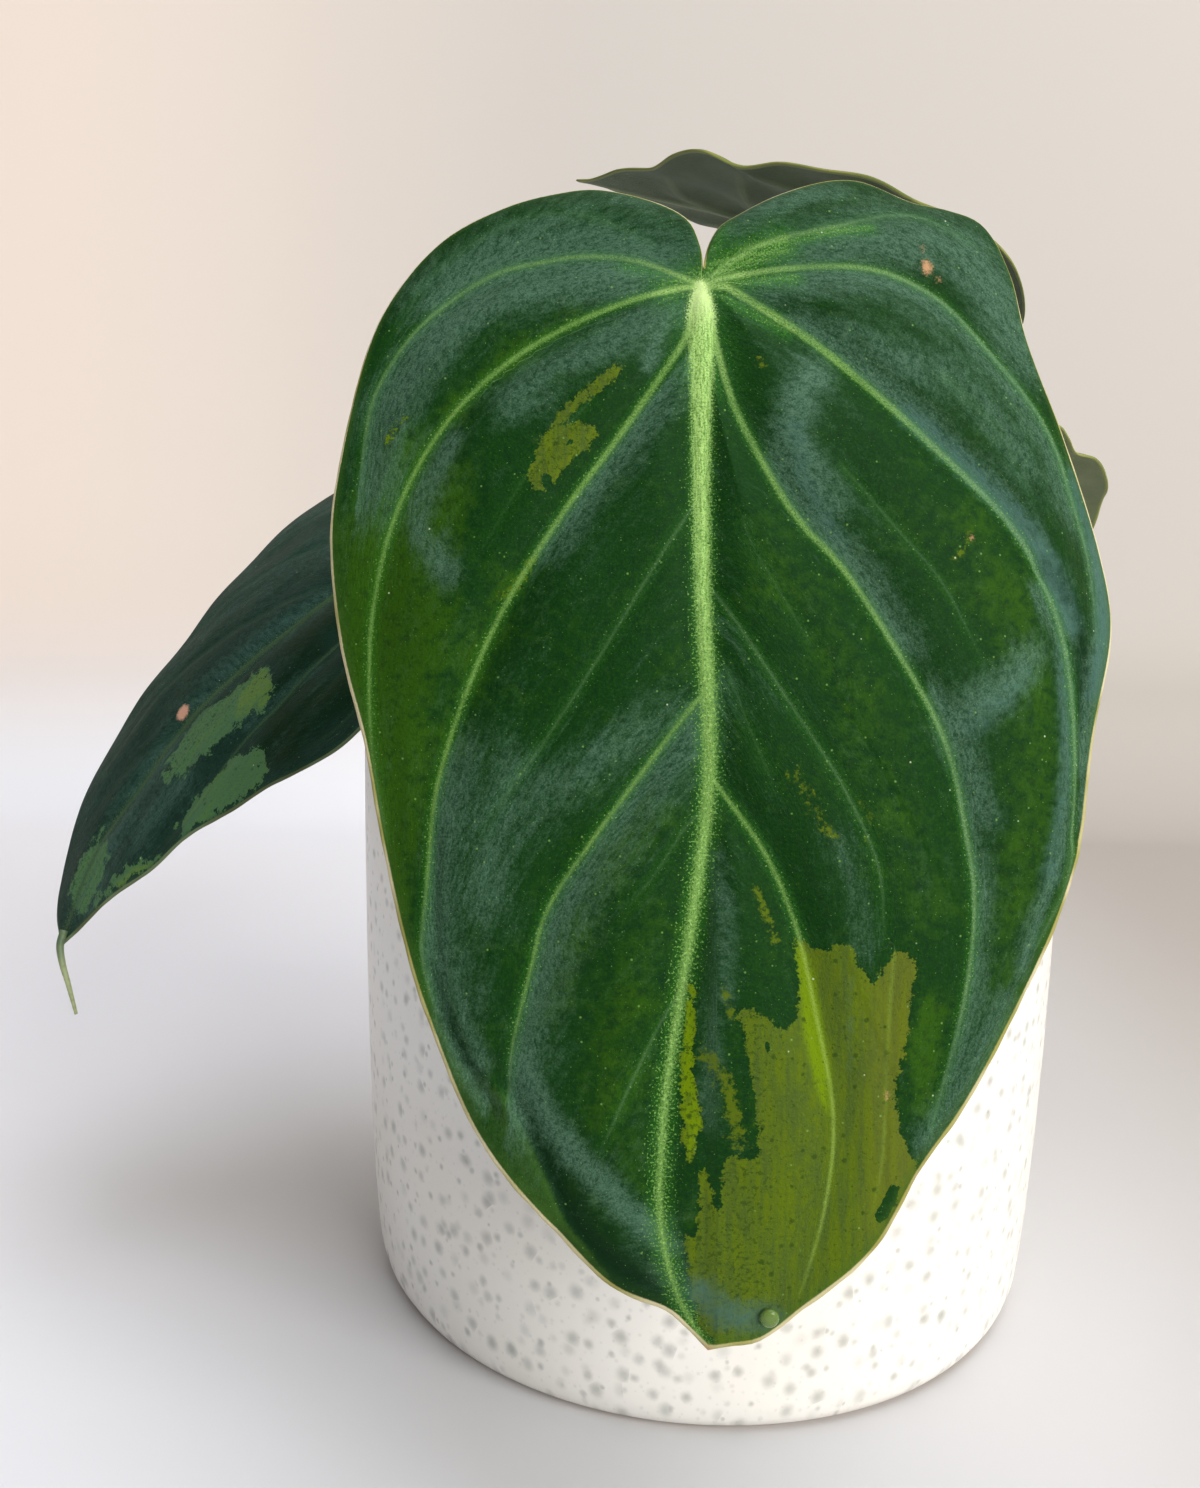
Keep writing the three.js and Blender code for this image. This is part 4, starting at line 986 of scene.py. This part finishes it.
            [(-2.2, 74), (-1.5, 74.5), (-1.7, 80), (-1.4, 85.4), (-0.7, 88.5), (-1.3, 90), (-2.2, 92.4),
             (-3.2, 84), (-2.6, 79)],
            [(8.6, 70), (9.8, 72), (11, 77), (12, 84), (12.2, 88), (11, 86), (9.5, 80), (8.8, 74)],
            [(-36, 17), (-34, 14), (-31, 13.5), (-33, 18)],
        ],
        "scar": [
            [(25, -4.2), (25.6, -4.3), (26.1, -3.6), (26, -2.9), (25.4, -2.6), (24.9, -3.2)],
            [(26.6, -2.2), (27, -2.3), (27.1, -1.9), (26.7, -1.8)],
            [(24.9, -5.9), (25.2, -5.9), (25.2, -5.5), (24.9, -5.5)],
            [(27.9, 28.3), (28.2, 28.2), (28.3, 28.6), (28, 28.7)],
            [(17.8, 85.6), (18.2, 85.7), (18.1, 86.3), (17.8, 86.2)],
            [(-0.5, 112), (0.5, 112), (0.6, 113.4), (-0.6, 113.4)],
        ],
    },
)
front_tones = dict(
    deep="#10370e", green="#2b500a", dark="#0b2813", veil="#507059", veil_deep="#355643",
    bloom="#43665e", tilt_share=0.12, patch="#54670f", patch_dull="#445820", patch_warm="#6a6a22",
    patch_bright="#688305", fleck="#2c4410", patch_vein="#8ba645", patch_share=1.0, ragged=1.3,
    vein="#729a4c", vein_faint="#66895c", vein_light="#a9cf77", vein_grey="#6c9070", crown="#d6f0a2",
    halo="#2d6a1c", dust="#76a04f", edge_green="#3c5d20", edge="#d3c9a0", edge_brown="#9c9852",
    scar="#c79a70")
front_velvet = velvet("front_leaf_velvet", **front_tones)
green_back = dull_back("leaf_back", "#384b2c", "#445635", "#64744a", "#78834f")
make_piece(blade_mesh(front_leaf, 400, 120), "blade_front", [front_velvet, green_back],
           node="leaf_front")

DROP_RADIUS = 1.0
DROP_SPOT = np.array([[6.2], [108.8]])
DROP_LIFT = 0.5
DROP_SQUASH = (1, 0.62, 1.1, 1)
drop_mesh = bmesh.new()
bmesh.ops.create_uvsphere(drop_mesh, u_segments=32, v_segments=20, radius=DROP_RADIUS * MM)
drop_seat = Vector(front_leaf.place(*DROP_SPOT, front_leaf.form(*DROP_SPOT) + DROP_LIFT)[0])
sag = Matrix.Translation(drop_seat) @ Matrix.Rotation(0.2, 4, "X") @ Matrix.Diagonal(DROP_SQUASH)
bmesh.ops.transform(drop_mesh, matrix=sag, verts=drop_mesh.verts)
# The water's green base colour is painted: it stands in for the leaf seen through the drop.
water = Finish("water", Roughness=0.03, IOR=1.33, Transmission_Weight=0.6, Base_Color=colour("#93b45c"))
make_piece(drop_mesh, "water_drop", [water])


# Left leaf: leans out over the rim and hangs outside the pot, bluer and in the shade. Its tip
# runs out into a pale thread that drips water, and grey-green patches lie along its middle.
left_leaf = Leaf(
    base=(-42.8, 12, 120.5), tip=(-101.5, -12, 52.5), upper=(-0.44, -0.52, 0.66),
    bow=8, side_droop=0.0012, lobe_droop=0.01, quilting=1.1, wave=0.2,
    veil_side=Vector((-0.6, -0.2, 0.75)),
    left=[(0.2, -2), (-2, -6), (-8, -11.5), (-17, -14), (-29, -12), (-37, -4), (-40.5, 5), (-37.5, 18),
          (-32.5, 31.5), (-27, 46), (-24.5, 59), (-22, 70), (-17.5, 80), (-13, 86.5), (-7.5, 91), (0, 94)],
    right=[(0.2, -2), (2.5, -6), (8, -11), (17, -12), (24, -6), (28, 4), (30.5, 16), (32.3, 28),
           (32.5, 41), (29.5, 48.5), (25.5, 54), (22.5, 59), (17, 67.5), (14, 73.5), (9.5, 80), (4, 88),
           (0, 94)],
    rib=[(0, 0), (0.5, 24.5), (-1, 37), (-2, 45), (-3.5, 54.5), (-3, 65.5), (-3.5, 77.5), (0, 93)],
    rib_widths=[(0, 1.1), (0.25, 0.5), (0.7, 0.35), (1, 0.2)],
    rim=[(-14, 0.16), (94, 0.22)],
    veins=[
        ([(0, 0), (-14, -2), (-28, 6), (-33, 20)], 0.3, 0.15, 0.4),
        ([(0, 3), (-14, 14), (-24, 32), (-25, 50)], 0.3, 0.15, 0.35),
        ([(0, 20), (-10, 34), (-17, 52), (-17, 70)], 0.25, 0.15, 0.3),
        ([(0, 0), (13, -1), (24, 9), (28, 28), (29, 40), (28, 44.5)], 0.35, 0.2, 0.55),
        ([(0, 3), (10, 18), (13.5, 31), (13.5, 37), (14, 43.5), (14, 50.5), (14.5, 57.5), (15, 64),
          (13.5, 69.5)], 0.45, 0.25, 0.75),
        ([(0, 42), (5, 54), (8, 66), (7, 78)], 0.2, 0.12, 0.3),
        ([(-3, 56), (-9, 66), (-12, 77)], 0.2, 0.12, 0.25),
        ([(6, 10), (19, 26), (22, 44)], 0.2, 0.12, 0.3),
    ],
    # Painted sheen: pale cool bands on the slopes of the left leaf, where the pile reflects the light.
    veil=[
        ([(-6, 8), (-16, 20), (-23, 40), (-22, 60), (-16, 78)], 7, 0.3),
        ([(-28, 4), (-33, 18), (-28, 36)], 4, 0.3),
        ([(-1, 26), (-3.5, 40), (-5, 52)], 4, 0.55),
        ([(-3, 60), (-1, 72), (2, 84)], 5, 0.7),
        ([(8, 62), (7, 72)], 3, 0.6),
        ([(14, 36), (12, 48)], 2, 0.5),
    ],
    lush=[
        ([(18, 8), (22, 22), (24, 36), (22, 46)], 7, 1.0),
        ([(5, 20), (8, 32), (16, 44)], 5, 0.8),
    ],
    patches={
        "patch": [
            [(4.5, 40.5), (2.5, 45), (0.5, 50), (-1.4, 52), (-0.5, 56.5), (1.5, 61.5), (4, 64),
             (7, 61.5), (8.5, 57), (10, 51.5), (11.5, 46), (12, 43.5), (8.5, 40.5)],
            [(14.5, 54), (20, 49.5), (25, 53), (22, 58.5), (19, 63.5), (17, 67), (13.5, 66.5),
             (13.5, 62.5)],
            [(-5.5, 77.5), (0.5, 77.5), (3, 81), (3.5, 86.5), (0.5, 88.5), (-5, 87.5), (-7, 82.5)],
            [(14, 72), (13, 74), (9, 80), (4.5, 86), (4, 84.5), (8.5, 77)],
        ],
        "lime": [
            [(14, 73), (12, 76), (9, 81), (8, 80), (11, 75)],
            [(4.5, 40.5), (5, 46), (9, 49), (11.5, 46), (12, 43.5), (8.5, 40.5)],
        ],
        "scar": [
            [(-7.4, 53.3), (-6, 52.8), (-4.8, 54), (-5, 55.4), (-6.5, 55.6), (-7.3, 54.7)],
        ],
    },
)
left_velvet = velvet(
    "left_leaf_velvet", deep="#1b382d", green="#0b2a12", dark="#091c13", veil="#4a6c5f",
    veil_deep="#32554a", bloom="#4a6c5f", tilt_share=0.1, patch="#56804a", patch_dull="#4f7654",
    patch_warm="#56804a", patch_bright="#688a42", fleck="#2f5236", patch_vein="#5c7a4a",
    patch_share=0.8, ragged=9, vein="#3d5839", vein_faint="#2f4f3c", vein_light="#48603c",
    vein_grey="#3d5839", crown="#48603c", halo="#1f4026", dust="#5f7f58", edge_green="#2f4f38",
    edge="#6a7a58", edge_brown="#5a6242", scar="#d9a68a")
make_piece(blade_mesh(left_leaf, 300, 90), "blade_left", [left_velvet, green_back],
           node="leaf_left")

TAIL_ROUTE = [(-101.2, -12.4, 54.2), (-101.6, -13.2, 52), (-100.9, -14.2, 49.3), (-100.1, -14.5, 46.5),
              (-99.5, -14.5, 43.7), (-99, -14.5, 41.3)]
TAIL_RADII = (0.66, 0.26)
tail_mesh = bmesh.new()
grow_shoot(tail_mesh, TAIL_ROUTE, lambda share, point: TAIL_RADII[0] * (1 - share) + TAIL_RADII[1] * share,
           sides=14, steps=48)
tail_skin = Finish("drip_tip", Roughness=0.5)
tail_place = tail_skin.place()
tail_height = tail_skin.axes(tail_place)[2]
tail_colour = tail_skin.wash("#50684a", "#9aa477", tail_height, 0.053, 0.047)
tail_grain = tail_skin.noise(tail_place, 1500)
tail_colour = tail_skin.wash(tail_colour, "#707c4c", tail_grain, 0.45, 0.65, 0.4)
tail_skin.cover("Base Color", tail_colour)
make_piece(tail_mesh, "drip_thread", [tail_skin], node="leaf_left")


# Rear leaf: small, held flat above the others on a bent stalk, so its lower face shows.
# Its sides lift from the midrib in a shallow trough.
rear_leaf = Leaf(
    base=(41.9, 33, 165.6), tip=(-23.6, 30, 180), upper=(0.2, 0, 1),
    bow=1, side_droop=-0.004, lobe_droop=0.04, quilting=0.9, wave=0.3,
    veil_side=Vector((-0.5, -0.6, 0.2)),
    left=[(-0.3, -2), (-3, -7), (-8, -11), (-14, -11), (-19.5, -5), (-21.5, 6), (-21.5, 17), (-19, 27),
          (-15, 35), (-11, 42), (-7, 48), (-3.5, 54), (-1.2, 60), (0, 67)],
    right=[(-0.3, -2), (2.5, -8), (8, -13.5), (15.5, -12.5), (21, -4), (24, 8), (26.5, 19), (26.5, 27),
           (24, 35), (21, 40.5), (22, 47.5), (18.5, 52), (13, 55), (8, 60.5), (3, 64.5), (0, 67)],
    rib=[(0, 0), (1, 31), (0, 65)],
    rib_widths=[(0, 1.0), (0.3, 0.6), (1, 0.25)],
    rim=[(-14, 0.15), (67, 0.2)],
    veins=[
        ([(0, 0), (11, 0), (20, 8), (23, 20)], 0.42, 0.16, 0.6),
        ([(0, 4), (9, 14), (17, 28), (19, 38)], 0.45, 0.16, 0.65),
        ([(0, 20), (6, 34.5), (13, 39), (19, 41)], 0.34, 0.15, 0.55),
        ([(1, 34), (4, 48), (11.5, 52)], 0.34, 0.15, 0.55),
        ([(0, 0), (-9, 0), (-17, 8), (-18, 18)], 0.42, 0.16, 0.6),
        ([(0, 4), (-8, 14), (-13, 27)], 0.4, 0.16, 0.6),
        ([(0, 20), (-5, 32), (-8, 42)], 0.34, 0.15, 0.55),
    ],
    patches={
        "patch": [
            [(6, 30), (9, 36), (11, 44), (7, 49), (4, 40)],
        ],
        "lime": [
            [(6, 34), (8, 38), (7, 42)],
        ],
    },
)
rear_tones = dict(front_tones, ragged=7, edge="#8d9150", edge_brown="#6f7a3e",
                  vein="#5f8a48", vein_light="#86ad62")
rear_velvet = velvet("rear_leaf_velvet", **rear_tones)
make_piece(blade_mesh(rear_leaf, 240, 72), "blade_rear", [rear_velvet, green_back],
           node="leaf_rear")


# Right leaf: a broad blade like the front one, thin and velvety, and paler green below. It hangs
# from a bowed stalk and leans back over the rim behind the others.
right_leaf = Leaf(
    base=(46, 24, 134), tip=(58, 92, 92), upper=(0.1, 0.5, 0.86),
    bow=6, side_droop=0.003, quilting=1, wave=0.7,
    veil_side=Vector((0.4, 0.2, 0.8)),
    left=[(0, -2), (-3, -8), (-8, -12.5), (-13, -12.8), (-16.2, -8), (-18.8, -2.5), (-22.6, 1.2),
          (-26, 7.5), (-27.3, 14), (-28, 24), (-27.5, 34), (-24, 48), (-17, 62), (-8, 74), (0, 81)],
    right=[(0, -2), (4, -8.5), (12, -12.5), (20, -9.5), (26, 0), (28, 12), (28, 26), (26, 38), (22, 50),
           (15, 63), (7, 74), (0, 81)],
    rib=[(0, 0), (0.5, 40), (0, 80)],
    rib_widths=[(0, 1.2), (0.3, 0.8), (0.7, 0.5), (1, 0.22)],
    rim=[(-14, 0.15), (81, 0.3)],
    veins=[
        ([(0, 0), (-11, -2), (-19, 8), (-23, 24)], 0.45, 0.16, 0.65),
        ([(0, 4), (-10, 16), (-18, 34), (-19, 46)], 0.48, 0.16, 0.7),
        ([(0, 24), (-8, 38), (-12, 56)], 0.36, 0.15, 0.6),
        ([(0, 0), (12, -2), (21, 6), (25, 22)], 0.45, 0.16, 0.65),
        ([(0, 4), (11, 17), (19, 34), (20, 44)], 0.48, 0.16, 0.7),
        ([(0, 24), (8, 38), (12, 54)], 0.36, 0.15, 0.6),
        ([(0, 46), (-5, 56), (-8, 66)], 0.2, 0.12, 0.35),
        ([(0, 46), (5, 56), (8, 66)], 0.2, 0.12, 0.35),
    ],
    patches={
        "patch": [
            [(3, 30), (7, 34), (12, 46), (13, 56), (8, 62), (4, 54), (2, 42)],
            [(-20, 20), (-15, 25), (-14, 36), (-18, 40), (-22, 32)],
        ],
        "lime": [
            [(4, 34), (7, 40), (8, 50), (5, 46)],
        ],
    },
)
right_back = dull_back("right_leaf_back", "#65744f", "#75845c", "#8d9468", "#8b9650")
make_piece(blade_mesh(right_leaf, 260, 78), "blade_right", [rear_velvet, right_back],
           node="leaf_right")


# Leaf stalks: firm, round and satin green with paler streaks. Each clasps the stem with a widened
# foot and thickens a little where it meets the underside of its blade.
STALK_RADIUS = 1.75
STALK_CLASP = [(2.4, -1), (5.5, 0), (8, 1)]
STALKS = [
    ("stalk_front", front_leaf, 107.5, [(7, -10, 119), (2, -30, 134)]),
    ("stalk_left", left_leaf, 100, [(-6, 9, 105), (-22, 15, 109)]),
    ("stalk_rear", rear_leaf, 121.5, [(17, 14, 132), (20, 24, 148), (32, 31, 154)]),
    ("stalk_right", right_leaf, 114.5, [(24, 10, 117), (37, 15, 120)]),
]

stalk_skin = Finish("leaf_stalk", Roughness=0.48)
stalk_place = stalk_skin.place()
stalk_streaks = stalk_skin.noise(stalk_place, 900, 3, 0.6)
stalk_clouds = stalk_skin.noise(stalk_place, 90, 3)
stalk_colour = stalk_skin.wash("#4a6629", "#7f9c4c", stalk_clouds, 0.35, 0.7)
stalk_colour = stalk_skin.wash(stalk_colour, "#b7c487", stalk_streaks, 0.55, 0.7, 0.6)
stalk_skin.cover("Base Color", stalk_colour)
stalk_skin.bump(stalk_streaks, 0.0003, 0.6)


def stalk_radius(share, point):
    foot = 0.85 * math.exp(-(share / 0.1) ** 2)
    head = 0.3 * math.exp(-((1 - share) / 0.1) ** 2)
    return STALK_RADIUS * (0.95 + foot + head)


for stalk_node, leaf, stem_height, middle in STALKS:
    root = Vector(stem_line[np.searchsorted(stem_line[:, 2], stem_height)])
    outward = Vector((middle[0][0] - root.x, middle[0][1] - root.y, 0)).normalized()
    route = [root + outward * out + Vector((0, 0, rise)) for out, rise in STALK_CLASP]
    route += [Vector(point) for point in middle]
    route += [leaf.base - leaf.upper * back for back in (9, 4, 0.9)]
    stalk_mesh = bmesh.new()
    grow_shoot(stalk_mesh, route, stalk_radius, sides=28, steps=110)
    petiole_name = stalk_node.replace("stalk", "petiole")
    make_piece(stalk_mesh, petiole_name, [stalk_skin], node=stalk_node)


# Studio: a pale sheet sweeps up behind the plant. A wide window lamp stands to the right, a softer
# one hangs overhead, and a weak one fills from the left. The camera stands close, above the rim.
SHEET_HALF_WIDTH = 1.6
SHEET_FRONT = -1.0
SHEET_BEND = 0.30
SHEET_RADIUS = 0.06
SHEET_TOP = 1.2
SKY_TONE = "#f4f1ee"
SKY_GLOW = 0.17

sheet_mesh = bmesh.new()
sheet_line = [(SHEET_FRONT, 0)]
sheet_line += [(SHEET_BEND + SHEET_RADIUS * math.sin(turn), SHEET_RADIUS * (1 - math.cos(turn)))
               for turn in (math.pi / 2 * step / 16 for step in range(17))]
sheet_line.append((SHEET_BEND + SHEET_RADIUS, SHEET_TOP))
corners = [sheet_mesh.verts.new((-SHEET_HALF_WIDTH, y, z)) for y, z in sheet_line]
sheet_edges = [sheet_mesh.edges.new(pair) for pair in zip(corners, corners[1:])]
swept = bmesh.ops.extrude_edge_only(sheet_mesh, edges=sheet_edges)["geom"]
far_side = [item for item in swept if isinstance(item, bmesh.types.BMVert)]
bmesh.ops.translate(sheet_mesh, verts=far_side, vec=(2 * SHEET_HALF_WIDTH, 0, 0))
sheet_paint = Finish("pale_sheet", Roughness=0.7, Specular_IOR_Level=0.2)
sheet_side, _, sheet_height = sheet_paint.axes(sheet_paint.place())
# Painted shade: the sheet is painted darker towards the right on the wall and the floor, evening out the
# window lamp's stronger light there. The wall is also warmer on the left.
sheet_wall = sheet_paint.wash("#e9dbcf", "#c8c3bc", sheet_side, -0.3, 0)
sheet_floor = sheet_paint.wash("#e2e4e8", "#aca69e", sheet_side, -0.08, 0.2)
sheet_paint.cover("Base Color", sheet_paint.wash(sheet_floor, sheet_wall, sheet_height, 0, 0.1))
sheet_data = bpy.data.meshes.new("floor")
sheet_mesh.to_mesh(sheet_data)
sheet_mesh.free()
sheet_data.polygons.foreach_set("use_smooth", [True] * len(sheet_data.polygons))
sheet_data.materials.append(sheet_paint.material)
floor = bpy.data.objects.new("floor", sheet_data)
bpy.context.scene.collection.objects.link(floor)

sky = bpy.data.worlds.new("studio")
sky.use_nodes = True
sky.node_tree.nodes["Background"].inputs["Color"].default_value = colour(SKY_TONE)
sky.node_tree.nodes["Background"].inputs["Strength"].default_value = SKY_GLOW
bpy.context.scene.world = sky

LAMPS = [
    ("window", (1.4, -1.6, 0.9), 1.7, 57.0, "#fffcf8"),
    ("overhead", (0.35, -0.1, 1.5), 1.3, 15.5, "#f6f7ff"),
    ("room_left", (-0.9, -0.55, 0.5), 0.9, 0.35, "#e4ecff"),
]
AIM = Vector((0, 0, 0.08))
for lamp_name, spot, size, power, tint in LAMPS:
    lamp = bpy.data.lights.new(lamp_name, "AREA")
    lamp.shape = "DISK"
    lamp.size = size
    lamp.energy = power
    lamp.color = colour(tint)[:3]
    holder = bpy.data.objects.new(lamp_name, lamp)
    holder.location = spot
    holder.rotation_euler = (AIM - Vector(spot)).to_track_quat("-Z", "Y").to_euler()
    bpy.context.scene.collection.objects.link(holder)

CAMERA_PLACE = Vector((-0.0175, -0.195, 0.112))
CAMERA_DOWN = 8.3
CAMERA_ROLL = 1.05
CAMERA_LENS = 29.08
view = bpy.data.cameras.new("view")
view.lens = CAMERA_LENS
camera = bpy.data.objects.new("view", view)
camera.matrix_world = (Matrix.Translation(CAMERA_PLACE)
                       @ Matrix.Rotation(math.radians(90 - CAMERA_DOWN), 4, "X")
                       @ Matrix.Rotation(math.radians(CAMERA_ROLL), 4, "Z"))
bpy.context.scene.collection.objects.link(camera)
bpy.context.scene.camera = camera
bpy.context.scene.view_settings.view_transform = "Standard"
